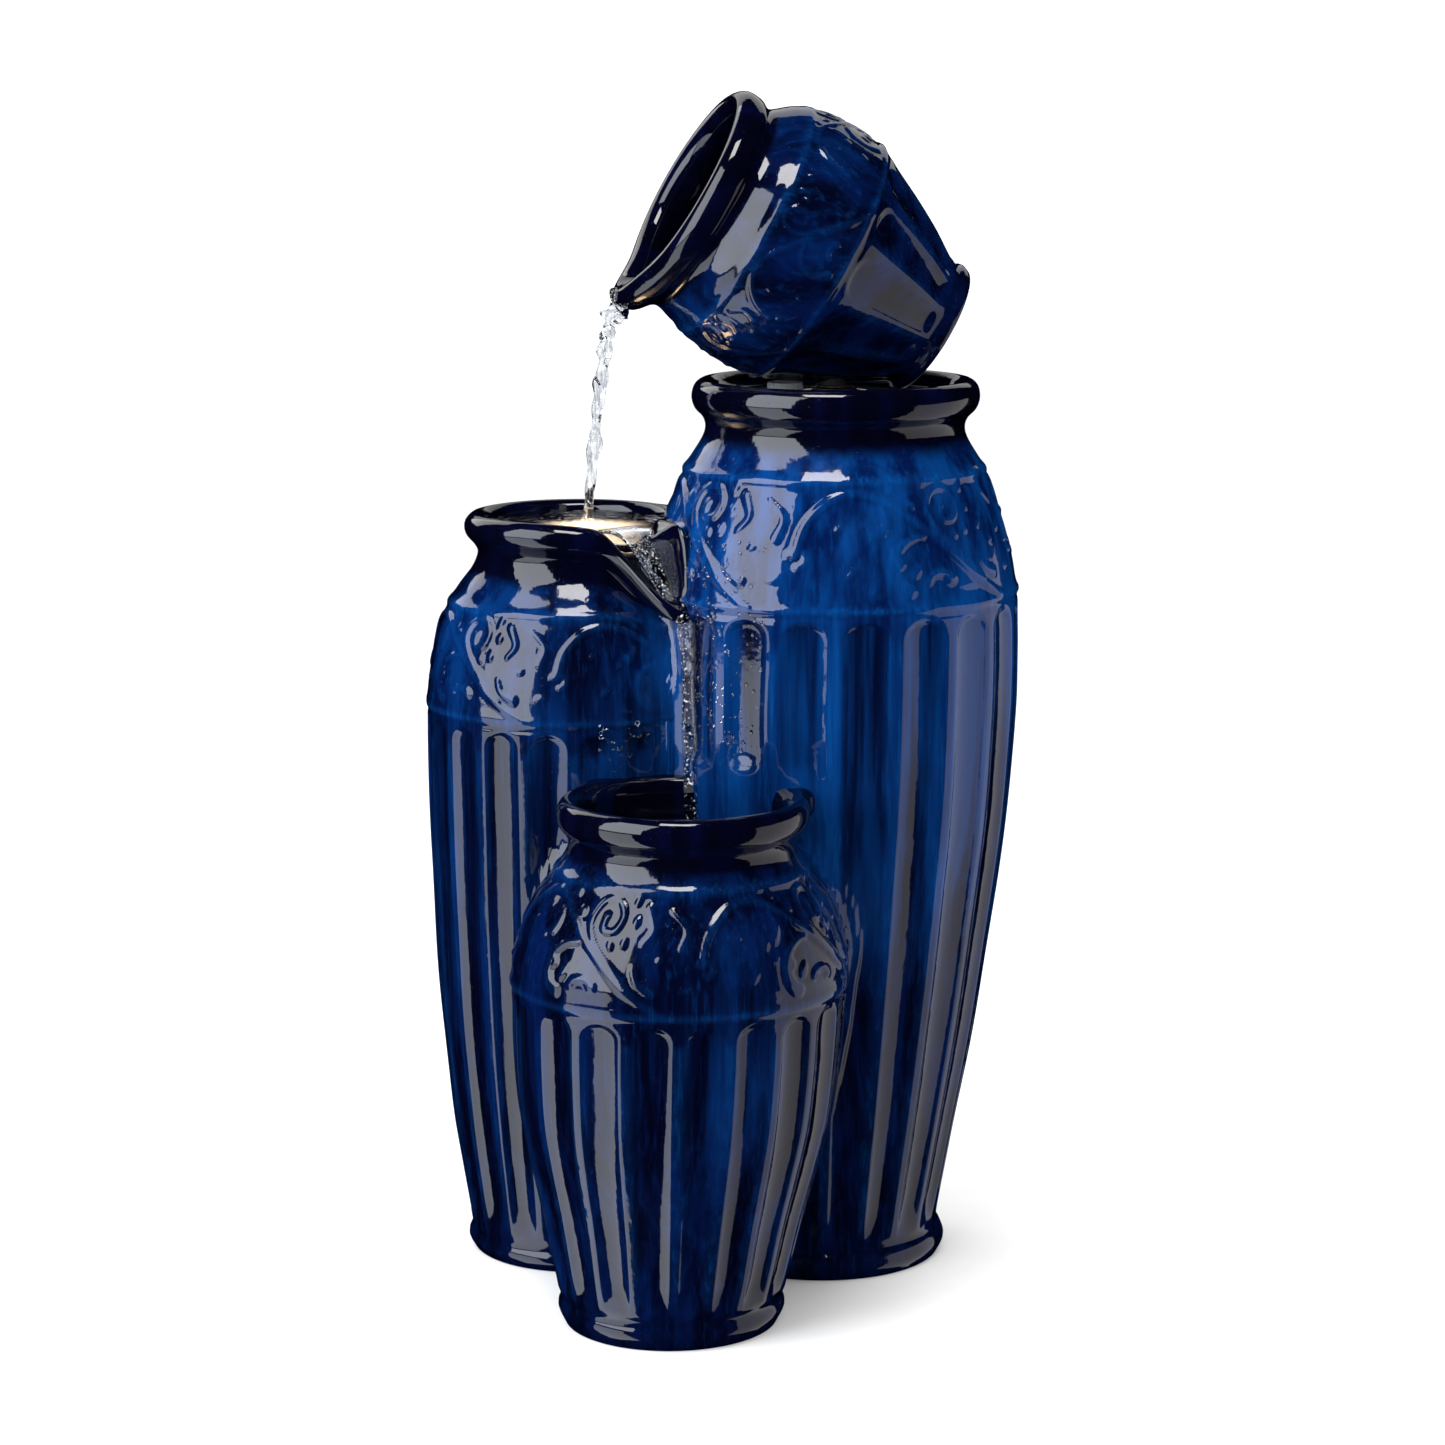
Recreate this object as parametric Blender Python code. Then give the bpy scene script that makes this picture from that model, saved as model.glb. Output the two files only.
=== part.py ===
"""Three-jar cascading fountain with a pouring jug, pump, lamp and plumbing. Metres, +Z up, front faces -Y."""

import math

import bmesh
import bpy
from mathutils import Matrix, Vector

GAP = 0.0003  # clearance between pieces that touch
SEGMENTS = 32  # columns round each jar
WALL = 0.009  # thickness of the stoneware

# Axes of the three jars where they meet the ground, and how far each leans towards +X per metre of height.
TALL_AXIS = (0.0678, 0.0662)
TALL_LEAN = 0.014
MIDDLE_AXIS = (-0.0965, 0.0753)
MIDDLE_LEAN = 0.0
FRONT_AXIS = (-0.0322, -0.0832)
FRONT_LEAN = 0.025

# Outer outlines, (radius, height), from the foot up over the rolled rim.
TALL_OUTLINE = (
    (0.0815, 0.0), (0.0852, 0.0085), (0.0822, 0.0170), (0.0797, 0.0230), (0.0878, 0.0730),
    (0.0992, 0.1370), (0.1084, 0.2000), (0.1166, 0.2630), (0.1228, 0.3250), (0.1255, 0.3860),
    (0.1247, 0.4374), (0.1226, 0.4678), (0.1150, 0.4980), (0.1037, 0.5281), (0.0994, 0.5381),
    (0.0888, 0.5560), (0.0870, 0.5650), (0.0944, 0.5800), (0.0944, 0.5880), (0.0875, 0.5958),
    (0.0815, 0.5920),
)
MIDDLE_OUTLINE = (
    (0.0735, 0.0), (0.0773, 0.0075), (0.0745, 0.0150), (0.0755, 0.0200), (0.0818, 0.0595),
    (0.0881, 0.1024), (0.0959, 0.1873), (0.0995, 0.2712), (0.1011, 0.3438), (0.1010, 0.3746),
    (0.1017, 0.3850), (0.0988, 0.4054), (0.0911, 0.4361), (0.0794, 0.4563), (0.0700, 0.4690),
    (0.0668, 0.4790), (0.0700, 0.4860), (0.0736, 0.4930), (0.0734, 0.5010), (0.0680, 0.5062),
    (0.0620, 0.5030),
)
FRONT_OUTLINE = (
    (0.0690, 0.0), (0.0735, 0.0100), (0.0713, 0.0170), (0.0738, 0.0231), (0.0775, 0.0373),
    (0.0865, 0.0778), (0.0948, 0.1113), (0.1017, 0.1447), (0.1055, 0.1846), (0.1066, 0.2110),
    (0.1085, 0.2314), (0.1077, 0.2439), (0.0979, 0.2734), (0.0854, 0.2923), (0.0760, 0.3060),
    (0.0740, 0.3130), (0.0765, 0.3220), (0.0792, 0.3310), (0.0790, 0.3390), (0.0735, 0.3440),
    (0.0670, 0.3405),
)
DISH_Z = 0.585  # top face of the tall jar's closed dish
BASIN_Z = 0.455  # floor of the middle jar's basin
WEIR_Z = 0.488  # lip of the basin, just under the water
RESERVOIR_Z = 0.012  # floor of the front jar

# The middle jar's pouring lip: its bearing, how far it reaches out and drops, and its half widths in degrees.
LIP_BEARING = -51.5
LIP_REACH = 0.042
LIP_DROP = 0.050

# The jug lies on its side: centre of its foot, and the way its mouth faces.
JUG_FOOT = Vector((0.1417, 0.1072, 0.6248))
JUG_WAY = Vector((-0.8463, -0.1874, 0.4986)).normalized()
JUG_SEGMENTS = 28
# (radius, distance from the foot) of the jug: outside, then rim, then inside.
JUG_OUTLINE = (
    (0.0455, 0.0), (0.0472, 0.0050), (0.0462, 0.0120), (0.0625, 0.0400), (0.0765, 0.0690),
    (0.0875, 0.0950), (0.0895, 0.1200), (0.0868, 0.1400), (0.0808, 0.1560), (0.0700, 0.1710),
    (0.0730, 0.1800), (0.0730, 0.1900), (0.0660, 0.1960), (0.0575, 0.1920), (0.0560, 0.1830),
    (0.0625, 0.1690), (0.0735, 0.1540), (0.0820, 0.1200), (0.0800, 0.0960), (0.0690, 0.0690),
    (0.0550, 0.0420), (0.0360, 0.0110),
)
JUG_FLOOR = 0.0085
JUG_LIP_REACH = 0.018
JUG_LIP_FORWARD = 0.006
JUG_LIP_WIDTH = 22.0

# Vertical feed into the jug.
FEED = (0.0759, 0.0927)
DISH_HOLE = 0.0115
JUG_HOLE = 0.0095
SPIGOT_RADIUS = 0.0065
SOCKET_BORE = 0.0068

# Pump, on the floor of the front jar. Its rotor's axis runs along Y.
PUMP_X = -0.0310
PUMP_Y = -0.0800
PUMP_BASE = 0.0170
PUMP_SIZE = (0.048, 0.032, 0.040)
ROTOR_Z = PUMP_BASE + 0.018
ROTOR_RADIUS = 0.0080
ROTOR_LENGTH = 0.020
ROTOR_BORE = 0.0017
SHAFT_RADIUS = 0.0014
BUSH_BORE = 0.0016
CHAMBER_DEPTH = 0.012
CHAMBER_RADIUS = 0.0140
COVER_DEPTH = 0.013
NOZZLE_TOP = 0.074
HOSE_RADIUS = 0.0075
LEAD_RADIUS = 0.0026
CLAMP_RADII = (HOSE_RADIUS + 0.0007, HOSE_RADIUS + 0.0022)
CLAMP_WIDTH = 0.006
ALONG_ROTOR = (0, 1, 0)

# Radii of the drilled holes through the tall jar's wall.
HOSE_BORE = 0.0105
LEAD_BORE = 0.0058
GLAND_BORE = 0.0065

# Bearings, from the tall jar's axis, of the holes through its wall, and their heights.
HOSE_HOLE = (-123.0, 0.205)
LEAD_HOLE = (-106.0, 0.185)
LIGHT_HOLE = (176.0, 0.4690)
GLAND_HOLE = (90.0, 0.036)

LIGHT_AT = (-0.0905, 0.0753)
LIGHT_RADIUS = 0.022


def clear_scene():
    for thing in list(bpy.data.objects):
        bpy.data.objects.remove(thing, do_unlink=True)


def material(name, color, roughness, metallic=0.0):
    """The piece's own Principled material."""
    made = bpy.data.materials.new(name)
    made.use_nodes = True
    shader = made.node_tree.nodes["Principled BSDF"]
    shader.inputs["Base Color"].default_value = (*color, 1.0)
    shader.inputs["Roughness"].default_value = roughness
    shader.inputs["Metallic"].default_value = metallic
    made.diffuse_color = (*color, 1.0)
    return made


GLAZE = ((0.010, 0.045, 0.300), 0.08)
BLACK_PLASTIC = ((0.020, 0.020, 0.022), 0.40)
RUBBER = ((0.030, 0.030, 0.030), 0.70)
CLEAR_PLASTIC = ((0.800, 0.820, 0.830), 0.15)
VINYL = ((0.600, 0.640, 0.620), 0.25)
STEEL = ((0.600, 0.600, 0.600), 0.25)
CERAMIC = ((0.850, 0.840, 0.800), 0.30)
CIRCUIT = ((0.020, 0.180, 0.060), 0.45)


def finish_piece(name, mesh, look, metallic=0.0):
    """A named, smooth-shaded object with its own material."""
    piece = bpy.data.objects.new(name, mesh)
    bpy.context.scene.collection.objects.link(piece)
    mesh.materials.append(material(name + "_look", look[0], look[1], metallic))
    mesh.shade_smooth()
    mesh.set_sharp_from_angle(angle=math.radians(40))
    return piece


def mesh_from(bm, name):
    bmesh.ops.recalc_face_normals(bm, faces=bm.faces)
    mesh = bpy.data.meshes.new(name)
    bm.to_mesh(mesh)
    bm.free()
    return mesh


def turned_mesh(name, outline, angles, place, loop=False):
    """Turns the outline round its axis. place(row, radius, height, angle) is a point, and radius 0 a pole."""
    bm = bmesh.new()
    rows = []
    for row, (radius, height) in enumerate(outline):
        if radius == 0:
            rows.append([bm.verts.new(place(row, 0.0, height, 0.0))])
        else:
            rows.append([bm.verts.new(place(row, radius, height, angle)) for angle in angles])
    pairs = list(zip(rows, rows[1:]))
    if loop:
        pairs.append((rows[-1], rows[0]))
    count = len(angles)
    for low, high in pairs:
        if len(low) == len(high) == 1:
            continue
        for i in range(count):
            j = (i + 1) % count
            corners = [low[i % len(low)], low[j % len(low)], high[j % len(high)], high[i % len(high)]]
            bm.faces.new(list(dict.fromkeys(corners)))
    return mesh_from(bm, name)


def even_angles(count):
    return [2 * math.pi * i / count for i in range(count)]


def leaning(axis, lean):
    def place(row, radius, height, angle):
        x = axis[0] + lean * height + radius * math.cos(angle)
        return Vector((x, axis[1] + radius * math.sin(angle), height))

    return place


def turned(name, outline, look, centre, way=(0, 0, 1), segments=16, loop=False, metallic=0.0):
    """A turned piece whose axis starts at centre and runs along way. Its origin is on that axis."""
    turn = Vector((0, 0, 1)).rotation_difference(Vector(way).normalized())

    def place(row, radius, height, angle):
        return Vector((radius * math.cos(angle), radius * math.sin(angle), height))

    mesh = turned_mesh(name, outline, even_angles(segments), place, loop)
    piece = finish_piece(name, mesh, look, metallic)
    piece.matrix_world = Matrix.Translation(Vector(centre)) @ turn.to_matrix().to_4x4()
    return piece


def ring_outline(inner, outer, low, high):
    return ((inner, low), (outer, low), (outer, high), (inner, high))


def disc_outline(radius, low, high):
    return ((0, low), (radius, low), (radius, high), (0, high))


def ring(name, inner, outer, length, look, centre, way=(0, 0, 1), segments=16, metallic=0.0):
    outline = ring_outline(inner, outer, 0.0, length)
    return turned(name, outline, look, centre, way, segments, loop=True, metallic=metallic)


def disc(name, radius, length, look, centre, way=(0, 0, 1), segments=16, metallic=0.0):
    return turned(name, disc_outline(radius, 0.0, length), look, centre, way, segments, metallic=metallic)


def box_mesh(name, low, high, bevel=0.0):
    bm = bmesh.new()
    bmesh.ops.create_cube(bm, size=1.0)
    size = Vector(high) - Vector(low)
    middle = (Vector(high) + Vector(low)) / 2
    for vert in bm.verts:
        vert.co = Vector((vert.co.x * size.x, vert.co.y * size.y, vert.co.z * size.z)) + middle
    if bevel:
        bmesh.ops.bevel(bm, geom=bm.edges, offset=bevel, segments=2, profile=0.5, affect="EDGES")
    return mesh_from(bm, name)


def cutter(name, mesh):
    tool = bpy.data.objects.new(name, mesh)
    bpy.context.scene.collection.objects.link(tool)
    tool.hide_render = True
    tool.display_type = "WIRE"
    return tool


def rod_cutter(name, radius, length, centre, way=(0, 0, 1), segments=16):
    """A round cutter, centred on a point."""
    start = Vector(centre) - Vector(way).normalized() * length / 2
    tool = disc(name, radius, length, STEEL, start, way, segments)
    tool.hide_render = True
    tool.display_type = "WIRE"
    return tool


def boolean(piece, tool, operation="DIFFERENCE"):
    change = piece.modifiers.new(tool.name, "BOOLEAN")
    change.operation = operation
    change.solver = "EXACT"
    change.object = tool


def inner_rows(outline, first, last):
    """The inside face of a wall, following every second row of the outline from last down to first."""
    return [(radius - WALL, height) for radius, height in reversed(outline[first:last:2])]


def envelope(name, outline, axis, lean, angles):
    """The space a jar fills, out to its surface and a gap, for cutting its neighbours back."""
    low = [(0, -0.02), (outline[0][0] + GAP, -0.02)]
    rows = [(radius + GAP, height) for radius, height in outline]
    top = [(0, outline[-1][1])]
    mesh = turned_mesh(name, low + rows + top, angles, leaning(axis, lean))
    return cutter(name, mesh)


def tall_envelope(name):
    return envelope(name, TALL_OUTLINE, TALL_AXIS, TALL_LEAN, even_angles(SEGMENTS))


def middle_angles():
    """Even columns, closer together round the pouring lip."""
    degrees = [a for a in range(-180, 180, 12) if not -100 < a < -20]
    degrees += [-92, -82, -74, -67, -61, -56, -51.5, -49, -47, -45, -40, -30]
    return [math.radians(a) for a in sorted(degrees)]


def wall_point(bearing, height, inset=0.0):
    """A point on the tall jar's outer wall, and the way out of the wall there."""
    radius = 0.0
    for (r0, z0), (r1, z1) in zip(TALL_OUTLINE, TALL_OUTLINE[1:]):
        if z0 <= height <= z1:
            radius = r0 + (r1 - r0) * (height - z0) / (z1 - z0)
            break
    angle = math.radians(bearing)
    out = Vector((math.cos(angle), math.sin(angle), 0.0))
    centre = Vector((TALL_AXIS[0] + TALL_LEAN * height, TALL_AXIS[1], height))
    return centre + out * (radius - inset), out


def tall_jar():
    outline = list(TALL_OUTLINE)
    outline += [(0.0795, DISH_Z), (0, DISH_Z), (0, DISH_Z - WALL), (0.0780, DISH_Z - WALL)]
    outline += inner_rows(TALL_OUTLINE, 4, 17)
    outline += [(0.0715, 0.0220), (0.0725, 0.0)]
    mesh = turned_mesh("tall_jar", outline, even_angles(SEGMENTS), leaning(TALL_AXIS, TALL_LEAN), True)
    jar = finish_piece("tall_jar", mesh, GLAZE)
    boolean(jar, rod_cutter("cut_dish", DISH_HOLE, 0.03, (*FEED, DISH_Z)))
    for label, hole, radius in (
        ("cut_hose", HOSE_HOLE, HOSE_BORE),
        ("cut_lead", LEAD_HOLE, LEAD_BORE),
        ("cut_light", LIGHT_HOLE, LEAD_BORE),
        ("cut_gland", GLAND_HOLE, GLAND_BORE),
    ):
        point, out = wall_point(*hole)
        boolean(jar, rod_cutter(label, radius, 0.04, point, out))
    return jar


def lip_shape(angle, half_left, half_right, power_right):
    """1 at the pouring lip's bearing, falling to 0 on both sides, faster towards the tall jar."""
    degrees = math.degrees(angle)
    away = (degrees - LIP_BEARING + 180) % 360 - 180
    if away < 0:
        return math.exp(-((away / half_left) ** 2))
    return math.exp(-((away / half_right) ** power_right))


def middle_jar():
    """Basin on top, with its floor above an open lower cavity. The rim dips and reaches out into a lip."""
    outline = list(MIDDLE_OUTLINE)
    share = [0.0] * len(outline)
    share[12:] = [0.12, 0.35, 0.62, 0.80, 0.93, 1.0, 1.0, 1.0, 0.88]
    outline += [(0.0600, 0.4960), (0.0585, WEIR_Z), (0.0560, BASIN_Z), (0, BASIN_Z)]
    share += [0.45, 0.06, 0.0, 0.0]
    outline += [(0, BASIN_Z - WALL), (0.0700, BASIN_Z - WALL)]
    outline += inner_rows(MIDDLE_OUTLINE, 4, 13)
    outline += [(0.0650, 0.0200), (0.0655, 0.0)]
    share += [0.0] * (len(outline) - len(share))

    def place(row, radius, height, angle):
        reach = LIP_REACH * lip_shape(angle, 15.0, 10.0, 2) * share[row]
        drop = LIP_DROP * lip_shape(angle, 20.0, 4.0, 4) * share[row]
        x = MIDDLE_AXIS[0] + MIDDLE_LEAN * height + (radius + reach) * math.cos(angle)
        return Vector((x, MIDDLE_AXIS[1] + (radius + reach) * math.sin(angle), height - drop))

    mesh = turned_mesh("middle_jar", outline, middle_angles(), place, True)
    jar = finish_piece("middle_jar", mesh, GLAZE)
    boolean(jar, tall_envelope("cut_middle_by_tall"))
    return jar


def front_jar():
    """The reservoir: a flat solid floor, and a wall that stops at the two taller jars."""
    outline = [(0, 0.0)] + list(FRONT_OUTLINE)
    outline += [(0.0655, 0.3330)]
    outline += inner_rows(FRONT_OUTLINE, 4, 17)
    outline += [(0.0620, RESERVOIR_Z), (0, RESERVOIR_Z)]
    mesh = turned_mesh("front_jar", outline, even_angles(SEGMENTS), leaning(FRONT_AXIS, FRONT_LEAN))
    jar = finish_piece("front_jar", mesh, GLAZE)
    boolean(jar, tall_envelope("cut_front_by_tall"))
    boolean(jar, envelope("cut_front_by_middle", MIDDLE_OUTLINE, MIDDLE_AXIS, MIDDLE_LEAN, middle_angles()))
    return jar


def jug_frame():
    """Local +Z along the jug towards its mouth, and local +X towards its pouring lip, the rim's low point."""
    down = (Vector((0, 0, -1)) + JUG_WAY * JUG_WAY.z).normalized()
    side = JUG_WAY.cross(down)
    return Matrix((down, side, JUG_WAY)).transposed()


def pouring_jug():
    frame = jug_frame()
    outline = [(0, 0.0)] + list(JUG_OUTLINE) + [(0, JUG_FLOOR)]
    share = [0.0] * len(outline)
    share[9:18] = [0.05, 0.45, 0.85, 1.0, 1.0, 0.95, 0.70, 0.20, 0.0]

    def place(row, radius, height, angle):
        away = math.degrees((angle + math.pi) % (2 * math.pi) - math.pi)
        lift = math.exp(-((away / JUG_LIP_WIDTH) ** 2)) * share[row]
        wide = radius + JUG_LIP_REACH * lift
        tall = height + JUG_LIP_FORWARD * lift
        return JUG_FOOT + frame @ Vector((wide * math.cos(angle), wide * math.sin(angle), tall))

    mesh = turned_mesh("pouring_jug", outline, even_angles(JUG_SEGMENTS), place)
    jug = finish_piece("pouring_jug", mesh, GLAZE)
    boolean(jug, rod_cutter("cut_jug", JUG_HOLE, 0.030, (*FEED, 0.598)))
    return jug


def jug_feed():
    """The spigot and its grommet lift off with the jug, and the flanged socket stays in the dish."""
    x, y = FEED
    ring("jug_inlet_spigot", 0.0048, SPIGOT_RADIUS, 0.070, CLEAR_PLASTIC, (x, y, 0.562))
    low = DISH_Z + 0.0030
    outline = (
        (SPIGOT_RADIUS + GAP, low), (0.0125, low), (0.0125, 0.5893), (JUG_HOLE - GAP, 0.5896),
        (JUG_HOLE - GAP, 0.6030), (SPIGOT_RADIUS + GAP, 0.6030),
    )
    turned("jug_inlet_grommet", outline, RUBBER, (x, y, 0), loop=True)
    socket = (
        (SOCKET_BORE, 0.5480), (0.0085, 0.5480), (0.0085, 0.5600), (DISH_HOLE - GAP, 0.5600),
        (DISH_HOLE - GAP, DISH_Z + GAP), (0.0150, DISH_Z + GAP), (0.0150, DISH_Z + 0.0022),
        (SOCKET_BORE, DISH_Z + 0.0022),
    )
    turned("dish_socket", socket, BLACK_PLASTIC, (x, y, 0), loop=True)
    nut_z = DISH_Z - WALL - GAP - 0.0070
    ring("dish_socket_nut", DISH_HOLE + 0.0005, 0.0170, 0.0070, BLACK_PLASTIC, (x, y, nut_z), segments=18)


def jug_rest():
    """A soft crescent under the jug's belly, so glaze doesn't sit on glaze."""
    at = (0.0430, 0.0850)
    outline = disc_outline(0.0120, DISH_Z + GAP, DISH_Z + 0.0064)
    turned("jug_rest_pad", outline, CLEAR_PLASTIC, (*at, 0), segments=20)


def smooth_route(points, count):
    """Evenly spread points on one smooth curve (Catmull-Rom) through the route's own points."""
    route = [Vector(p) for p in points]
    route = [2 * route[0] - route[1]] + route + [2 * route[-1] - route[-2]]
    fine = []
    for a, b, c, d in zip(route, route[1:], route[2:], route[3:]):
        for step in range(24):
            t = step / 24
            curve = (2 * a - 5 * b + 4 * c - d) * t**2 + (3 * b - a - 3 * c + d) * t**3
            fine.append(0.5 * (2 * b + (c - a) * t + curve))
    fine.append(route[-2])
    run = [0.0]
    for p, q in zip(fine, fine[1:]):
        run.append(run[-1] + (q - p).length)
    spread = []
    k = 0
    for i in range(count):
        goal = run[-1] * i / (count - 1)
        while k < len(run) - 2 and run[k + 1] < goal:
            k += 1
        part = (goal - run[k]) / max(run[k + 1] - run[k], 1e-9)
        spread.append(fine[k].lerp(fine[k + 1], min(part, 1.0)))
    return spread


def cable(name, points, radius, count, look, resolution=2):
    curve = bpy.data.curves.new(name, "CURVE")
    curve.dimensions = "3D"
    curve.bevel_depth = radius
    curve.bevel_resolution = resolution
    curve.use_fill_caps = True
    spline = curve.splines.new("POLY")
    route = smooth_route(points, count)
    spline.points.add(len(route) - 1)
    for point, place in zip(spline.points, route):
        point.co = (*place, 1.0)
    piece = bpy.data.objects.new(name, curve)
    bpy.context.scene.collection.objects.link(piece)
    curve.materials.append(material(name + "_look", look[0], look[1]))
    return piece


def through_wall(hole, before=0.014, after=0.020):
    """Points straight through the tall jar's wall, from the wet side inwards."""
    wall, out = wall_point(*hole)
    reach = (before, before / 2, 0.0, -after / 3, -2 * after / 3, -after)
    return [wall + out * step for step in reach]


def riser_hose():
    """From the pump's nozzle, through the tall jar's wall, up inside it to the dish socket."""
    wall, out = wall_point(*HOSE_HOLE)
    outlet = Vector((PUMP_X, PUMP_Y - PUMP_SIZE[1] / 2 - CHAMBER_DEPTH / 2, NOZZLE_TOP + GAP))
    top = Vector((*FEED, 0.5480 - 2 * GAP))
    route = [
        outlet, outlet + Vector((0, 0, 0.008)), outlet + Vector((0, 0, 0.016)),
        outlet + Vector((0.001, 0.012, 0.070)), wall + out * 0.036 - Vector((0, 0, 0.006)),
        *through_wall(HOSE_HOLE), wall - out * 0.048 + Vector((0, 0, 0.016)),
        Vector((0.0640, 0.0680, 0.2900)), Vector((0.0700, 0.0860, 0.4300)),
        top - Vector((0, 0, 0.022)), top - Vector((0, 0, 0.011)), top,
    ]
    cable("riser_hose", route, HOSE_RADIUS, 34, VINYL)
    for name, base in (
        ("hose_clamp_lower", outlet + Vector((0, 0, 0.004))),
        ("hose_clamp_upper", top - Vector((0, 0, 0.010))),
    ):
        ring(name, CLAMP_RADII[0], CLAMP_RADII[1], CLAMP_WIDTH, STEEL, base, metallic=1.0)


def wall_grommet(name, hole, bore, hole_radius):
    """A rubber bush with a flange on the wet side of the tall jar's wall."""
    point, out = wall_point(*hole)
    lip = hole_radius + 0.0030
    outline = (
        (bore, -0.0105), (hole_radius - GAP, -0.0105), (hole_radius - GAP, 0.0018), (lip, 0.0018),
        (lip, 0.0038), (bore, 0.0038),
    )
    turned(name, outline, RUBBER, point, out, loop=True)


def grommets():
    wall_grommet("hose_wall_grommet", HOSE_HOLE, HOSE_RADIUS + 0.0011, HOSE_BORE)
    wall_grommet("lead_wall_grommet", LEAD_HOLE, LEAD_RADIUS + 0.0009, LEAD_BORE)
    wall_grommet("light_wall_grommet", LIGHT_HOLE, LEAD_RADIUS + 0.0009, LEAD_BORE)


def pump_body():
    """Sealed motor block, open at the front for the rotor, with the round chamber block in front of it."""
    half_x = PUMP_SIZE[0] / 2
    front = PUMP_Y - PUMP_SIZE[1] / 2
    back = PUMP_Y + PUMP_SIZE[1] / 2
    top = PUMP_BASE + PUMP_SIZE[2]
    mesh = box_mesh("pump_housing", (PUMP_X - half_x, front, PUMP_BASE), (PUMP_X + half_x, back, top), 0.004)
    housing = finish_piece("pump_housing", mesh, BLACK_PLASTIC)
    rotor_mouth = (PUMP_X, front, ROTOR_Z)
    boolean(housing, rod_cutter("cut_well", ROTOR_RADIUS + 0.0010, 0.048, rotor_mouth, ALONG_ROTOR, 20))
    low = (PUMP_X - 0.021, front - GAP - CHAMBER_DEPTH, PUMP_BASE + 0.001)
    high = (PUMP_X + 0.021, front - GAP, top - 0.001)
    block = box_mesh("impeller_chamber", low, high, 0.002)
    chamber = finish_piece("impeller_chamber", block, BLACK_PLASTIC)
    middle = front - GAP - CHAMBER_DEPTH / 2
    open_rear = (PUMP_X, middle + 0.002, ROTOR_Z)
    boolean(chamber, rod_cutter("cut_chamber", CHAMBER_RADIUS, CHAMBER_DEPTH, open_rear, ALONG_ROTOR, 24))
    boolean(chamber, rod_cutter("cut_eye", 0.0090, 0.030, (PUMP_X, middle, ROTOR_Z), ALONG_ROTOR, 20))
    boolean(chamber, rod_cutter("cut_outlet", 0.0040, 0.030, (PUMP_X, middle, top - 0.006)))
    seat = top - 0.001 + GAP
    outline = (
        (0.0040, seat), (0.0078, seat), (0.0078, top + 0.004), (0.0062, top + 0.004),
        (0.0062, NOZZLE_TOP), (0.0040, NOZZLE_TOP),
    )
    turned("outlet_nozzle", outline, BLACK_PLASTIC, (PUMP_X, middle, 0), loop=True)
    seal_at = (PUMP_X, front - 0.00025, ROTOR_Z)
    ring("chamber_seal", ROTOR_RADIUS + 0.0030, ROTOR_RADIUS + 0.0040, 0.0002, RUBBER, seal_at, ALONG_ROTOR)


def impeller_outline(steps=6):
    """Six straight blades round a hub, as one flat outline."""
    points = []
    for blade in range(steps):
        turn = 2 * math.pi * blade / steps
        for radius, offset in ((0.0120, -0.06), (0.0120, 0.06), (0.0045, 0.24), (0.0045, 0.80)):
            points.append((radius * math.cos(turn + offset), radius * math.sin(turn + offset)))
    return points


def rotating_parts():
    """The magnet and the impeller turn as one on a fixed ceramic shaft."""
    front = PUMP_Y - PUMP_SIZE[1] / 2
    magnet_at = (PUMP_X, front - 0.0005, ROTOR_Z)
    ring("rotor_magnet", ROTOR_BORE, ROTOR_RADIUS, ROTOR_LENGTH, BLACK_PLASTIC, magnet_at, ALONG_ROTOR, 20)
    bm = bmesh.new()
    start = [bm.verts.new((x, 0.0, z)) for x, z in impeller_outline()]
    face = bm.faces.new(start)
    extruded = bmesh.ops.extrude_face_region(bm, geom=[face])
    moved = [item for item in extruded["geom"] if isinstance(item, bmesh.types.BMVert)]
    bmesh.ops.translate(bm, verts=moved, vec=(0, 0.0060, 0))
    impeller = finish_piece("impeller", mesh_from(bm, "impeller"), CLEAR_PLASTIC)
    impeller.location = (PUMP_X, front - 0.0070, ROTOR_Z)
    bore = rod_cutter("cut_impeller", ROTOR_BORE, 0.030, (PUMP_X, front, ROTOR_Z), ALONG_ROTOR, 12)
    boolean(impeller, bore)
    shaft_at = (PUMP_X, front - 0.0080, ROTOR_Z)
    disc("impeller_shaft", SHAFT_RADIUS, 0.0300, CERAMIC, shaft_at, ALONG_ROTOR, 12)
    rear_at = (PUMP_X, front + 0.0205, ROTOR_Z)
    ring("rear_bush", BUSH_BORE, ROTOR_RADIUS - 0.001, 0.0014, RUBBER, rear_at, ALONG_ROTOR)
    ring("front_bush", BUSH_BORE, 0.0030, 0.0010, CERAMIC, (PUMP_X, front - 0.0082, ROTOR_Z), ALONG_ROTOR)


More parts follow.
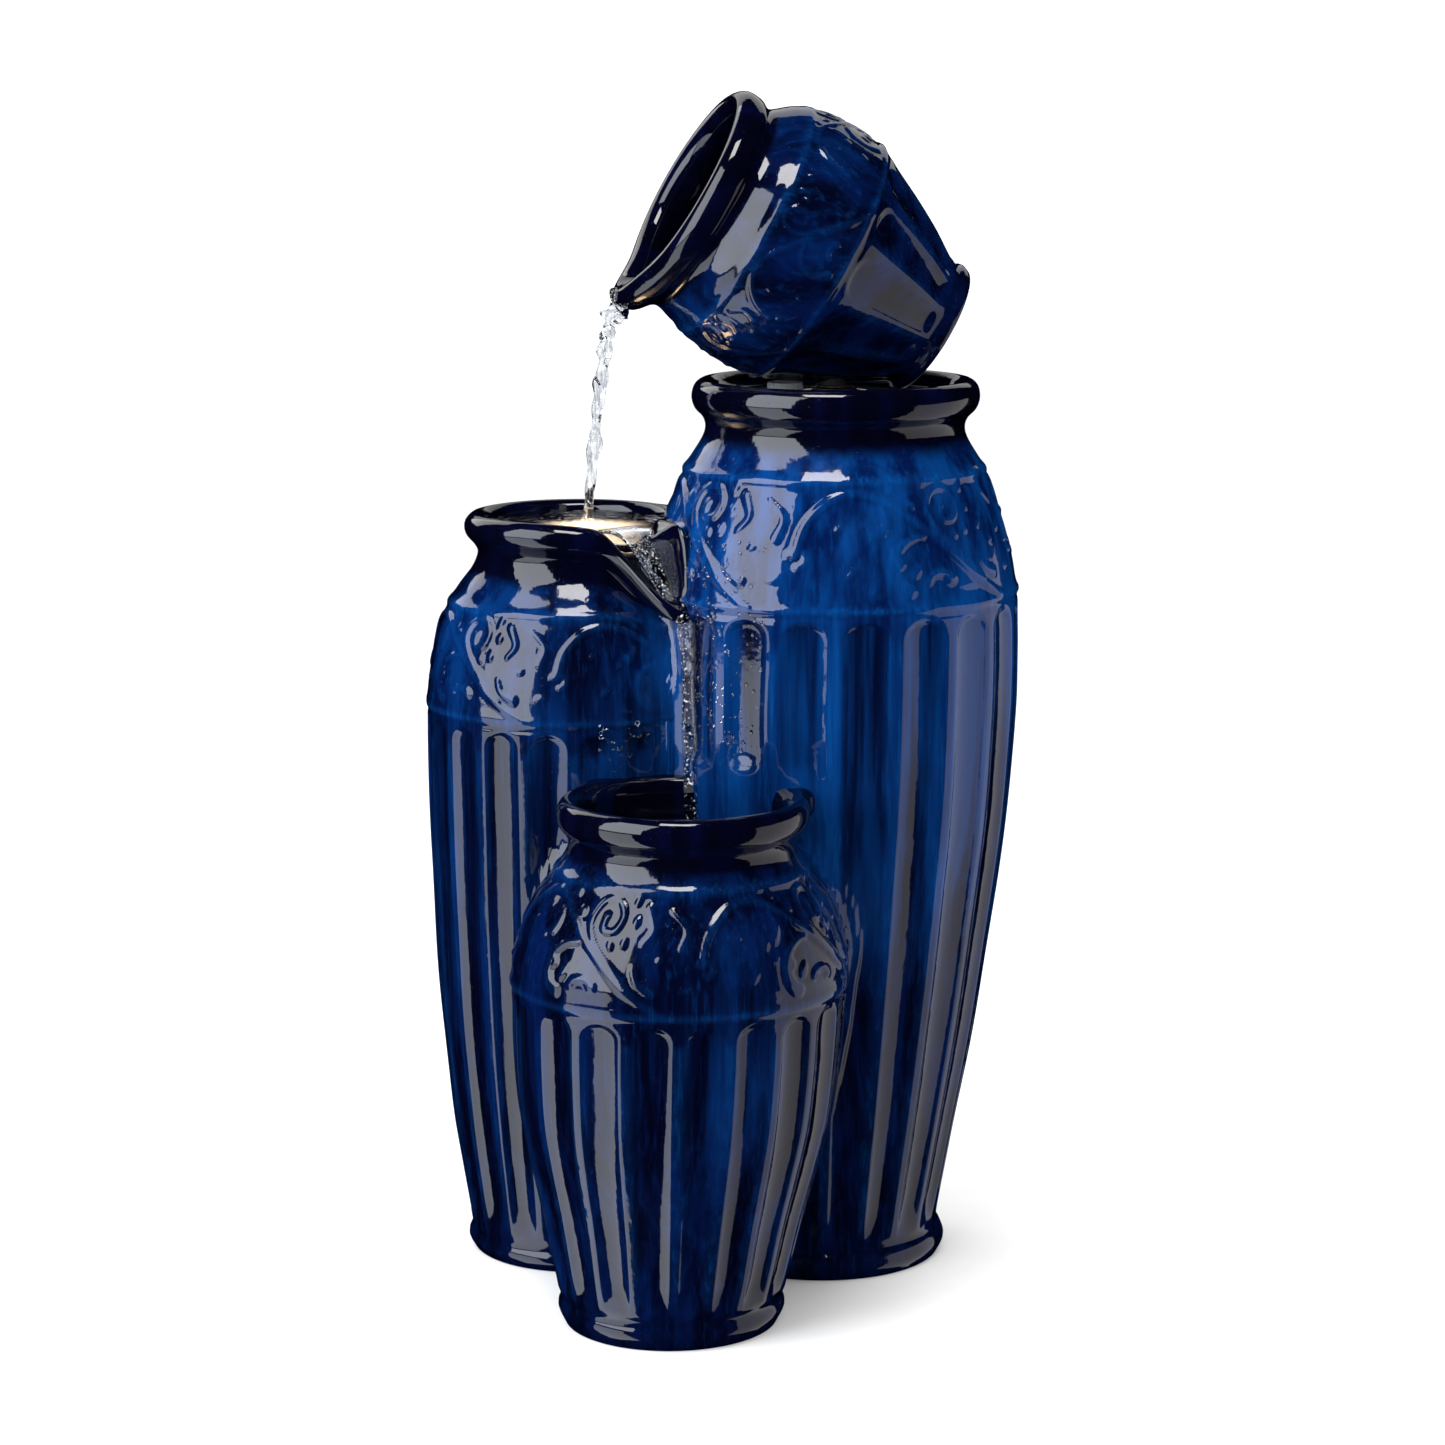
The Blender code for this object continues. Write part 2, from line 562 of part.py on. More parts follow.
def intake_parts():
    """A slotted cap that pulls off the chamber's front, with a turning flow gate on its face."""
    back = PUMP_Y - PUMP_SIZE[1] / 2 - 2 * GAP - CHAMBER_DEPTH
    front = back - COVER_DEPTH
    top = PUMP_BASE + PUMP_SIZE[2]
    low = (PUMP_X - 0.021, front, PUMP_BASE + 0.001)
    high = (PUMP_X + 0.021, back, top - 0.001)
    cover = finish_piece("intake_cover", box_mesh("intake_cover", low, high, 0.002), BLACK_PLASTIC)
    hollow_low = (low[0] + 0.002, front + 0.002, low[2] + 0.002)
    hollow_high = (high[0] - 0.002, back + 0.010, high[2] - 0.002)
    boolean(cover, cutter("cut_cover", box_mesh("cut_cover", hollow_low, hollow_high)))
    for i in range(5):
        x = PUMP_X - 0.0144 + 0.0072 * i
        slot_low = (x - 0.0013, front - 0.01, PUMP_BASE + 0.0060)
        slot_high = (x + 0.0013, front + 0.01, PUMP_BASE + 0.0150)
        slot = box_mesh(f"cut_slot_{i}", slot_low, slot_high)
        boolean(cover, cutter(f"cut_slot_{i}", slot))
    outline = ((0, -0.0040), (0.0070, -0.0040), (0.0078, -GAP), (0, -GAP))
    knob = turned("flow_knob", outline, BLACK_PLASTIC, (PUMP_X, front, top - 0.0120), ALONG_ROTOR, 18)
    pointer = box_mesh("cut_knob", (-0.0009, -0.0060, -0.0085), (0.0009, -0.0028, 0.0085))
    notch = cutter("cut_knob", pointer)
    notch.location = (PUMP_X, front, top - 0.0120)
    boolean(knob, notch)


def suction_feet():
    number = 0
    for dx in (-0.017, 0.017):
        for dy in (-0.010, 0.010):
            number += 1
            outline = (
                (0, PUMP_BASE - GAP), (0.0022, PUMP_BASE - GAP), (0.0028, RESERVOIR_Z + 0.0026),
                (0.0060, RESERVOIR_Z + GAP), (0.0050, RESERVOIR_Z + GAP), (0, RESERVOIR_Z + 0.0018),
            )
            place = (PUMP_X + dx, PUMP_Y + dy, 0)
            turned(f"suction_foot_{number}", outline, CLEAR_PLASTIC, place, segments=12)


def light():
    """A sealed lamp under the basin's water: cup, board and clear lens."""
    base = BASIN_Z + GAP
    inside = LIGHT_RADIUS - 0.0025
    cup = (
        (0, base), (LIGHT_RADIUS, base), (LIGHT_RADIUS, base + 0.0140), (inside, base + 0.0140),
        (inside, base + 0.0030), (0, base + 0.0030),
    )
    turned("light_housing", cup, BLACK_PLASTIC, (*LIGHT_AT, 0), segments=24)
    board = disc_outline(LIGHT_RADIUS - 0.0032, base + 0.0033, base + 0.0050)
    turned("light_board", board, CIRCUIT, (*LIGHT_AT, 0), segments=20)
    rim = LIGHT_RADIUS - 0.0029
    lens = (
        (0, base + 0.0110), (rim, base + 0.0110), (rim, base + 0.0150),
        (LIGHT_RADIUS * 0.55, base + 0.0172), (0, base + 0.0180),
    )
    turned("light_lens", lens, CLEAR_PLASTIC, (*LIGHT_AT, 0), segments=24)


def leads():
    """The pump's and the lamp's leads meet in one moulded block, and one lead runs on to the rear gland."""
    splitter_low = Vector((0.0480, 0.0560, 0.0700))
    splitter_high = Vector((0.0620, 0.0760, 0.0980))
    mesh = box_mesh("lead_splitter", splitter_low, splitter_high, 0.003)
    finish_piece("lead_splitter", mesh, BLACK_PLASTIC)
    block_top = Vector((0.0550, 0.0660, splitter_high.z + GAP))
    wall, out = wall_point(*LEAD_HOLE)
    rear = Vector((PUMP_X, PUMP_Y + PUMP_SIZE[1] / 2 + 5 * GAP, PUMP_BASE + 0.030))
    pump_end = block_top + Vector((-0.0010, -0.0055, 0))
    light_end = block_top + Vector((-0.0010, 0.0055, 0))
    up = Vector((0, 0, 0.007))
    pump_route = [
        rear, rear + Vector((0, 0.004, 0)), rear + Vector((0, 0.008, 0)),
        rear + Vector((0.012, 0.020, 0.035)), rear + Vector((0.045, 0.006, 0.105)),
        *through_wall(LEAD_HOLE, 0.012, 0.016), wall - out * 0.040 - Vector((0, 0, 0.010)),
        Vector((0.0520, 0.0500, 0.1350)), pump_end + 2 * up, pump_end + up, pump_end,
    ]
    cable("pump_lead", pump_route, LEAD_RADIUS, 34, BLACK_PLASTIC)
    lamp = Vector((LIGHT_AT[0] + LIGHT_RADIUS + 5 * GAP, LIGHT_AT[1], BASIN_Z + 0.0085))
    light_route = [
        lamp, lamp + Vector((0.003, 0, 0.0002)), *through_wall(LIGHT_HOLE, 0.009, 0.012),
        Vector((-0.0190, 0.0720, 0.4400)), Vector((-0.0120, 0.0710, 0.3600)),
        Vector((0.0060, 0.0700, 0.2300)), Vector((0.0420, 0.0740, 0.1400)),
        light_end + 2 * up, light_end + up, light_end,
    ]
    cable("light_lead", light_route, LEAD_RADIUS, 58, BLACK_PLASTIC)
    gland, rearward = wall_point(*GLAND_HOLE)
    below = Vector((0.0550, 0.0660, splitter_low.z - 2 * GAP))
    supply_route = [
        below, below - Vector((0, 0, 0.005)), below - Vector((0, 0, 0.010)), Vector((0.0580, 0.0820, 0.0430)),
        gland - rearward * 0.040, gland - rearward * 0.028, gland - rearward * 0.0160,
    ]
    cable("supply_lead", supply_route, LEAD_RADIUS, 16, BLACK_PLASTIC)
    outline = (
        (LEAD_RADIUS, -0.0157), (0.0060, -0.0157), (0.0060, 0.0020), (0.0095, 0.0020), (0.0095, 0.0045),
        (0.0050, 0.0070), (0.0042, 0.0120), (LEAD_RADIUS, 0.0120),
    )
    turned("rear_cable_gland", outline, BLACK_PLASTIC, gland, rearward, loop=True)


def build():
    clear_scene()
    tall_jar()
    middle_jar()
    front_jar()
    pouring_jug()
    jug_feed()
    jug_rest()
    riser_hose()
    grommets()
    pump_body()
    rotating_parts()
    intake_parts()
    suction_feet()
    light()
    leads()


build()
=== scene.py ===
"""Looks of the three-jar fountain: glazed stoneware, water, pump and fittings, on its frame. Metres."""

import math

import bmesh
import bpy
import numpy as np
from mathutils import Matrix, Vector


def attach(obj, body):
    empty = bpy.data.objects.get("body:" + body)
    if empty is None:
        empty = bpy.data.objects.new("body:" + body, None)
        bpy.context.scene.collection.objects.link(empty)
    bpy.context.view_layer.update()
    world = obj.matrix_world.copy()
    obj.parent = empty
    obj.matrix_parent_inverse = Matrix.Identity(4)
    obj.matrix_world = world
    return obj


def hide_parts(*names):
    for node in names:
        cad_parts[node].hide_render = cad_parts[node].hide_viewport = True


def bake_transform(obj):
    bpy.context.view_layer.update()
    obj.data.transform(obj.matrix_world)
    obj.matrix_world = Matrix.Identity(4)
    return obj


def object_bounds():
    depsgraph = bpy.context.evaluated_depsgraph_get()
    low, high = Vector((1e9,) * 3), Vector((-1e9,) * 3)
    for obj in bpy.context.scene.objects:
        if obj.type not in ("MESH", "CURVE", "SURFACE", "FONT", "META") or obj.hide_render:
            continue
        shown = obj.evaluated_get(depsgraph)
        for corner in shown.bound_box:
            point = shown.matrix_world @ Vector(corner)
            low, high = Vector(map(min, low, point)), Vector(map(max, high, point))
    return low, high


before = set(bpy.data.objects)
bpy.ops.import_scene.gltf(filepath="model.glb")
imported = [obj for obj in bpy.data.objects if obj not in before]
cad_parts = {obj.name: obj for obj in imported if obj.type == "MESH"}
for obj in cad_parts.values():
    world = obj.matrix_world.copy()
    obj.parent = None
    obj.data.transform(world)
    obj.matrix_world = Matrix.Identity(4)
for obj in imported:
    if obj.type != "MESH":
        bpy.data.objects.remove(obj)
CAD_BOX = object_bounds()
BOX_LOW, BOX_HIGH = (np.array([float(v) for v in corner]) for corner in CAD_BOX)
COLLECTION = bpy.context.scene.collection

# ---------------------------------------------------------------- camera
camera_data = bpy.data.cameras.new("camera")
camera_data.lens = 92.93
camera_data.sensor_width = 36.0
camera = bpy.data.objects.new("camera", camera_data)
camera.location = (0.0012, -2.4006, 0.8150)
camera.rotation_euler = (math.radians(90 - 10.356), 0, 0)
COLLECTION.objects.link(camera)
bpy.context.scene.camera = camera

# ---------------------------------------------------------------- sizes shared with the frame
TALL_AXIS, TALL_LEAN = (0.0678, 0.0662), 0.014
MIDDLE_AXIS, MIDDLE_LEAN = (-0.0965, 0.0753), 0.0
FRONT_AXIS, FRONT_LEAN = (-0.0322, -0.0832), 0.025
WALL = 0.009
TALL_OUTLINE = (
    (0.0815, 0.0), (0.0852, 0.0085), (0.0822, 0.0170), (0.0797, 0.0230), (0.0878, 0.0730),
    (0.0992, 0.1370), (0.1084, 0.2000), (0.1166, 0.2630), (0.1228, 0.3250), (0.1255, 0.3860),
    (0.1247, 0.4374), (0.1226, 0.4678), (0.1150, 0.4980), (0.1037, 0.5281), (0.0994, 0.5381),
    (0.0884, 0.5560), (0.0860, 0.5645), (0.0880, 0.5710), (0.0932, 0.5765), (0.0955, 0.5840),
    (0.0935, 0.5920), (0.0875, 0.5958), (0.0815, 0.5920),
)
MIDDLE_OUTLINE = (
    (0.0735, 0.0), (0.0773, 0.0075), (0.0745, 0.0150), (0.0755, 0.0200), (0.0818, 0.0595),
    (0.0881, 0.1024), (0.0959, 0.1873), (0.0995, 0.2712), (0.1011, 0.3438), (0.1010, 0.3746),
    (0.1017, 0.3850), (0.0988, 0.4054), (0.0911, 0.4361), (0.0794, 0.4563), (0.0700, 0.4690),
    (0.0660, 0.4795), (0.0684, 0.4855), (0.0740, 0.4925), (0.0742, 0.5005), (0.0680, 0.5062),
    (0.0620, 0.5030),
)
FRONT_OUTLINE = (
    (0.0690, 0.0), (0.0735, 0.0100), (0.0713, 0.0170), (0.0738, 0.0231), (0.0775, 0.0373),
    (0.0865, 0.0778), (0.0948, 0.1113), (0.1017, 0.1447), (0.1055, 0.1846), (0.1066, 0.2110),
    (0.1085, 0.2314), (0.1077, 0.2439), (0.0979, 0.2734), (0.0854, 0.2923), (0.0760, 0.3060),
    (0.0728, 0.3140), (0.0746, 0.3205), (0.0796, 0.3275), (0.0806, 0.3345), (0.0788, 0.3405),
    (0.0735, 0.3440), (0.0670, 0.3405),
)
DISH_Z, BASIN_Z, WEIR_Z, RESERVOIR_Z = 0.585, 0.455, 0.488, 0.012
LIP_BEARING, LIP_REACH, LIP_DROP = -51.5, 0.042, 0.050
JUG_FOOT = Vector((0.1417, 0.1072, 0.6248))
JUG_WAY = Vector((-0.8463, -0.1874, 0.4986)).normalized()
JUG_OUTLINE = (
    (0.0455, 0.0), (0.0472, 0.0050), (0.0462, 0.0120), (0.0625, 0.0400), (0.0765, 0.0690),
    (0.0875, 0.0950), (0.0895, 0.1200), (0.0868, 0.1400), (0.0808, 0.1560), (0.0700, 0.1710),
    (0.0730, 0.1800), (0.0730, 0.1900), (0.0660, 0.1960), (0.0575, 0.1920), (0.0560, 0.1830),
    (0.0625, 0.1690), (0.0735, 0.1540), (0.0820, 0.1200), (0.0800, 0.0960), (0.0690, 0.0690),
    (0.0550, 0.0420), (0.0360, 0.0110),
)
JUG_LIP_REACH, JUG_LIP_FORWARD, JUG_LIP_WIDTH = 0.018, 0.006, 22.0
FEED, HOLE_RADIUS = (0.0759, 0.0927), 0.0115
POOL_Z = 0.4995
BOWL_Z = 0.3010
# Centre of the painted lamp glow on the pool's surface.
PAINTED_GLOW_AT = (-0.0850, 0.0560, 0.0)


# ---------------------------------------------------------------- small tools
def link(name, mesh):
    piece = bpy.data.objects.new(name, mesh)
    COLLECTION.objects.link(piece)
    return piece


def smoothstep(low, high, value):
    t = np.clip((value - low) / (high - low), 0.0, 1.0)
    return t * t * (3 - 2 * t)


def noise_1d(x, seed):
    """Smooth repeatable noise from a few sines."""
    draws = np.random.default_rng(seed)
    total = np.zeros_like(x)
    for _ in range(6):
        total = total + np.sin(x * draws.uniform(0.6, 2.4) + draws.uniform(0, 6.28))
    return total / 6


def catmull(points, dense=14):
    """Points along a smooth curve through the given ones, with the outline's own index at each."""
    pts = np.array(points, float)
    pts = np.vstack([2 * pts[0] - pts[1], pts, 2 * pts[-1] - pts[-2]])
    out = []
    index = []
    for i in range(1, len(pts) - 2):
        a, b, c, d = pts[i - 1:i + 3]
        for step in range(dense):
            t = step / dense
            out.append(0.5 * (2 * b + (c - a) * t + (2 * a - 5 * b + 4 * c - d) * t**2
                              + (3 * b - a - 3 * c + d) * t**3))
            index.append(i - 1 + t)
    out.append(pts[-2])
    index.append(len(points) - 1)
    return np.array(out), np.array(index)


def respaced(points, index, spacing):
    """The curve again with rows spacing(height) metres apart."""
    steps = np.linalg.norm(np.diff(points, axis=0), axis=1)
    run = np.concatenate([[0], np.cumsum(steps)])
    at = [0.0]
    while at[-1] < run[-1]:
        at.append(at[-1] + spacing(np.interp(at[-1], run, points[:, 1])))
    at = np.array(at) * (run[-1] / at[-1])
    return np.stack([np.interp(at, run, points[:, k]) for k in (0, 1)], 1), np.interp(at, run, index)


def grid_mesh(name, rows, values, poles=(False, False), loop=False):
    """rows[i, j] is a point; columns wrap. values are named per-point numbers. A pole closes an end."""
    rows = np.clip(rows, BOX_LOW, BOX_HIGH)
    count_rows, count = rows.shape[:2]
    points = rows.reshape(-1, 3)
    first = np.arange(count_rows - 1 if not loop else count_rows)[:, None] * count
    column = np.arange(count)[None, :]
    beside = (column + 1) % count
    above = (first + count) % (count_rows * count)
    quads = np.stack([first + column, first + beside, above + beside, above + column], -1).reshape(-1, 4)
    faces = [tuple(q) for q in quads.tolist()]
    points = points.tolist()
    extra = {key: value.reshape(-1).tolist() for key, value in values.items()}
    for end, wanted in enumerate(poles):
        if not wanted:
            continue
        row = 0 if end == 0 else count_rows - 1
        centre = len(points)
        points.append(rows[row].mean(0).tolist())
        for key in extra:
            extra[key].append(float(values[key][row].mean()))
        for j in range(count):
            a, b = row * count + j, row * count + (j + 1) % count
            faces.append((centre, b, a) if end == 0 else (centre, a, b))
    mesh = bpy.data.meshes.new(name)
    mesh.from_pydata(points, [], faces)
    for key, value in extra.items():
        attribute = mesh.attributes.new(key, "FLOAT", "POINT")
        attribute.data.foreach_set("value", value)
    turn_outwards(mesh)
    mesh.shade_smooth()
    return mesh


def turn_outwards(mesh):
    """Makes a closed body's normals point out of it."""
    shell = bmesh.new()
    shell.from_mesh(mesh)
    if shell.calc_volume(signed=True) < 0:
        mesh.flip_normals()
    shell.free()
    mesh.update()


# ---------------------------------------------------------------- embossed vine
def curve_points(control, count=60):
    """A smooth open curve through the control points."""
    points, _ = catmull(control, max(2, count // max(1, len(control) - 1)))
    return points


def arc(centre, radius, start, end, squeeze=1.0, count=24):
    angles = np.radians(np.linspace(start, end, count))
    return np.stack([centre[0] + radius * np.cos(angles), centre[1] + radius * squeeze * np.sin(angles)], 1)


def spiral(centre, radius, start, turns, tighten, count=48):
    t = np.linspace(0, 1, count)
    angles = np.radians(start) + 2 * math.pi * turns * t
    reach = radius * (1 - tighten * t)
    return np.stack([centre[0] + reach * np.cos(angles), centre[1] + reach * np.sin(angles)], 1)


VINE_PERIOD = 2.08
# Strokes of one repeat, in frieze heights: points, half width at the start and at the end, height.
VINE_STROKES = (
    (curve_points([(-0.30, 0.44), (-0.23, 0.68), (-0.04, 0.86), (0.20, 0.91), (0.48, 0.80), (0.85, 0.51),
                   (1.15, 0.23), (1.47, 0.01)]), 0.036, 0.032, 0.90),
    (curve_points([(1.24, 0.19), (1.03, 0.40), (0.85, 0.58), (0.765, 0.75), (0.83, 0.90), (0.98, 0.92),
                   (1.07, 0.81), (1.02, 0.69), (0.91, 0.69), (0.90, 0.79)]), 0.030, 0.024, 0.90),
    (spiral((0.66, 0.32), 0.245, 82, 0.42, 0.10), 0.020, 0.058, 1.0),
    (spiral((1.80, 0.40), 0.075, 150, -0.62, 0.25), 0.020, 0.034, 0.80),
    (curve_points([(0.37, 0.80), (0.40, 0.69), (0.35, 0.60)]), 0.014, 0.042, 0.85),
    (arc((0.80, 0.21), 0.10, 175, 15, 0.70), 0.022, 0.046, 0.85),
    (curve_points([(1.22, 0.40), (1.27, 0.28), (1.38, 0.22)]), 0.016, 0.046, 0.90),
    (curve_points([(0.44, 0.47), (0.50, 0.37), (0.44, 0.30)]), 0.030, 0.016, 0.80),
    (curve_points([(1.52, 0.86), (1.66, 0.72), (1.62, 0.56)]), 0.014, 0.040, 0.70),
    (curve_points([(1.30, 0.88), (1.37, 0.72), (1.29, 0.60)]), 0.036, 0.014, 0.80),
)
# Leaves and berries: centre, half length, half width, turn in degrees, height.
VINE_OVALS = (
    (0.46, 0.925, 0.046, 0.030, -30, 0.8), (0.62, 0.810, 0.050, 0.032, -38, 0.8),
    (0.26, 0.560, 0.050, 0.028, 65, 0.7), (0.12, 0.300, 0.062, 0.026, 55, 0.8),
    (1.18, 0.920, 0.048, 0.032, 60, 0.8), (1.20, 0.770, 0.044, 0.030, 80, 0.8),
    (1.12, 0.600, 0.046, 0.030, 85, 0.8), (1.00, 0.570, 0.046, 0.028, 110, 0.7),
    (0.92, 0.795, 0.026, 0.026, 0, 0.8), (0.02, 0.640, 0.040, 0.026, 60, 0.7),
    (1.64, 0.240, 0.050, 0.026, 15, 0.6), (1.44, 0.480, 0.036, 0.028, 20, 0.6),
    (0.60, 0.300, 0.080, 0.040, 60, 0.6), (0.30, 0.120, 0.056, 0.030, -15, 0.6),
)
VINE_CELLS = 220


def vine_map():
    """Relief height of one repeat of the vine, 0 to 1, on a grid: rows go up the frieze, columns along it."""
    columns = int(VINE_CELLS * VINE_PERIOD)
    x, y = np.meshgrid((np.arange(columns) + 0.5) / VINE_CELLS, (np.arange(VINE_CELLS) + 0.5) / VINE_CELLS)
    height = np.zeros_like(x)
    for shift in (-VINE_PERIOD, 0.0, VINE_PERIOD):
        for points, wide_start, wide_end, top in VINE_STROKES:
            pts = points + np.array([shift, 0.0])
            if pts[:, 0].max() < -0.1 or pts[:, 0].min() > VINE_PERIOD + 0.1:
                continue
            for k in range(len(pts) - 1):
                a, b = pts[k], pts[k + 1]
                along = b - a
                t = np.clip(((x - a[0]) * along[0] + (y - a[1]) * along[1]) / (along @ along + 1e-12), 0, 1)
                away = np.hypot(x - a[0] - t * along[0], y - a[1] - t * along[1])
                half = wide_start + (wide_end - wide_start) * (k + t) / len(pts)
                ridge = np.clip(1.25 - (away / half) ** 2, 0, 1) ** 0.6
                height = np.maximum(height, top * ridge * (away < half * 1.12))
        for cx, cy, long, wide, turn, top in VINE_OVALS:
            c, s = math.cos(math.radians(turn)), math.sin(math.radians(turn))
            u = ((x - cx - shift) * c + (y - cy) * s) / long
            v = (-(x - cx - shift) * s + (y - cy) * c) / wide
            away = np.sqrt(u**2 + v**2)
            height = np.maximum(height, top * np.clip(1.15 - away**2, 0, 1) ** 0.55)
    return blurred(height, 7)


def blurred(image, times):
    """Softens a map that repeats along its columns."""
    for _ in range(times):
        image = (np.roll(image, 1, 1) + 2 * image + np.roll(image, -1, 1)) / 4
        padded = np.vstack([image[:1], image, image[-1:]])
        image = (padded[:-2] + 2 * padded[1:-1] + padded[2:]) / 4
    return image


VINE = vine_map()
VINE_SOFT = blurred(VINE, 40)


def vine_at(field, along, up):
    """A vine map's value at distances along and up the frieze, in frieze heights; 0 above and below it."""
    column = (along % VINE_PERIOD) * VINE_CELLS - 0.5
    row = np.clip(up * VINE_CELLS - 0.5, 0, VINE_CELLS - 1.001)
    c0, r0 = np.floor(column).astype(int), np.floor(row).astype(int)
    fc, fr = column - c0, row - r0
    width = field.shape[1]
    c1 = (c0 + 1) % width
    c0 = c0 % width
    value = ((field[r0, c0] * (1 - fc) + field[r0, c1] * fc) * (1 - fr)
             + (field[r0 + 1, c0] * (1 - fc) + field[r0 + 1, c1] * fc) * fr)
    return value * smoothstep(0.0, 0.03, up) * (1 - smoothstep(0.97, 1.0, up))


# ---------------------------------------------------------------- relief shared by jars and jug
def relief(theta, z, style):
    """Displacement outwards and the glaze's colour guides at each point of a jar's outside."""
    low, high = style["flute_low"], style["flute_top"]
    band, ridge = style["band"], style["ridge"]
    turn = theta / (2 * math.pi)
    # Concave channels with arched tops, and slightly uneven ribs between them.
    phase = turn * style["flutes"] + 0.05 * np.sin(theta * 3 + style["seed"])
    across = np.abs((phase % 1.0) - 0.5) * 2
    channel = np.clip(1 - (across / 0.80) ** 2, 0, 1) ** 0.85
    arch = high - style["arch"] * (1 - np.sqrt(np.clip(1 - (across / 0.80) ** 2, 0, 1)))
    inside = smoothstep(0, style["arch"] * 0.45, arch - z) * smoothstep(0, style["foot_fade"], z - low)
    depth = -style["flute_depth"] * channel * inside
    # Frieze.
    up = (z - band) / (ridge - band)
    repeats = style["repeats"]
    along = turn * repeats * VINE_PERIOD + style["shift"]
    inner = (up > 0) & (up < 1)
    vine = np.where(inner, vine_at(VINE, along, np.clip(up, 0, 1)), 0.0)
    soft = np.where(inner, vine_at(VINE_SOFT, along, np.clip(up, 0, 1)), 0.0)
    sunk = smoothstep(0.0, 0.12, up) * (1 - smoothstep(0.85, 1.0, up))
    depth = depth + style["vine_height"] * (vine - 0.35 * soft - 0.45 * sunk)
    # Band line between frieze and flutes, and the stepped ridge at the shoulder.
    wave = 0.0006 * noise_1d(theta * 9, style["seed"])
    half = style["band_half"]
    depth = depth + style["band_height"] * np.exp(-((z - band + wave) / half) ** 2)
    depth = depth - 0.6 * style["band_height"] * np.exp(-((z - band + 2.1 * half) / half) ** 2)
    step = (z - ridge - wave) / half
    depth = depth + style["ridge_height"] * np.exp(-(step / 1.3) ** 2)
    depth = depth - 0.5 * style["ridge_height"] * np.exp(-((step + 2.6) / 1.2) ** 2)
    # Hand-made unevenness.
    depth = depth + 0.00035 * np.sin(theta * 2 + z * 21 + style["seed"]) * np.sin(z * 33 + theta)
    rib = (1 - channel) * inside
    crest = np.clip(0.50 * rib + 0.45 * vine + 0.8 * np.exp(-((z - band) / half) ** 2)
                    + 0.8 * np.exp(-(step / 1.5) ** 2), 0, 1)
    hollow = np.clip(channel * inside + 0.75 * np.clip(soft * 2.0 - vine * 2.4, 0, 1), 0, 1)
    return depth, crest, hollow


def tone(theta, z, style):
    """How bright the blue is: fuller at the shoulder and darker towards the foot, which is painted shade, and
    uneven round the jar, which is the glaze's own.
    """
    # Painted shade: the blue dims from the shoulder down to the foot.
    share = smoothstep(style["flute_low"], style["ridge"], z)
    uneven = 0.22 * noise_1d(theta * 4, style["seed"] + 20)
    return np.clip(style["tone"] * (0.08 + 0.92 * share**1.3) + uneven, 0, 1)


def darkness(z, style):
    """1 on the rim, neck and foot, where the glaze is near black, and 0 on the body."""
    neck = smoothstep(style["neck"] - style["neck_soft"], style["neck"], z)
    low, fade = style["flute_low"], style["foot_fade"]
    foot = 0.45 - 0.45 * smoothstep(low - 0.6 * fade, low + fade, z)
    return np.maximum(neck, foot)


TALL_STYLE = dict(
    flute_low=0.024, flute_top=0.4525, arch=0.013, foot_fade=0.016, flutes=20, flute_depth=0.0036,
    band=0.4577, ridge=0.5381, band_height=0.0010, band_half=0.0022, ridge_height=0.0012,
    repeats=4, shift=0.02, vine_height=0.0024, neck=0.570, neck_soft=0.032, seed=1, tone=1.15,
)
MIDDLE_STYLE = dict(
    flute_low=0.022, flute_top=0.3735, arch=0.012, foot_fade=0.015, flutes=20, flute_depth=0.0034,
    band=0.3790, ridge=0.4480, band_height=0.0009, band_half=0.0020, ridge_height=0.0011,
    repeats=4, shift=1.91, vine_height=0.0023, neck=0.478, neck_soft=0.026, seed=2, tone=0.40,
)
FRONT_STYLE = dict(
    flute_low=0.024, flute_top=0.2215, arch=0.011, foot_fade=0.013, flutes=20, flute_depth=0.0033,
    band=0.2265, ridge=0.3000, band_height=0.0009, band_half=0.0021, ridge_height=0.0011,
    repeats=4, shift=1.59, vine_height=0.0022, neck=0.3185, neck_soft=0.020, seed=3, tone=0.30,
)
JUG_STYLE = dict(
    flute_low=0.014, flute_top=0.0900, arch=0.010, foot_fade=0.007, flutes=14, flute_depth=0.0034,
    band=0.0945, ridge=0.1500, band_height=0.0012, band_half=0.0020, ridge_height=0.0007,
    repeats=5, shift=0.20, vine_height=0.0016, neck=0.1735, neck_soft=0.010, seed=4, tone=0.26,
)


# ---------------------------------------------------------------- jars that grow together
FILLET = 0.018


class Jar:
    def __init__(self, outline, axis, lean):
        self.axis, self.lean = axis, lean
        points, _ = catmull(outline)
        top = int(np.argmax(points[:, 1]))
        self.radii, self.heights = points[:top + 1, 0], points[:top + 1, 1]
        self.top = self.heights[-1]

    def centre(self, z):
        return self.axis[0] + self.lean * z, self.axis[1]

    def radius(self, z):
        return np.interp(z, self.heights, self.radii)

    def distance(self, x, y, z):
        cx, cy = self.centre(z)
        wall = np.hypot(x - cx, y - cy) - self.radius(z)
        over = z - self.top
        return np.where(over > 0, np.hypot(np.maximum(wall, 0), over), wall)


TALL_JAR = Jar(TALL_OUTLINE, TALL_AXIS, TALL_LEAN)
MIDDLE_JAR = Jar(MIDDLE_OUTLINE, MIDDLE_AXIS, MIDDLE_LEAN)
FRONT_JAR = Jar(FRONT_OUTLINE, FRONT_AXIS, FRONT_LEAN)


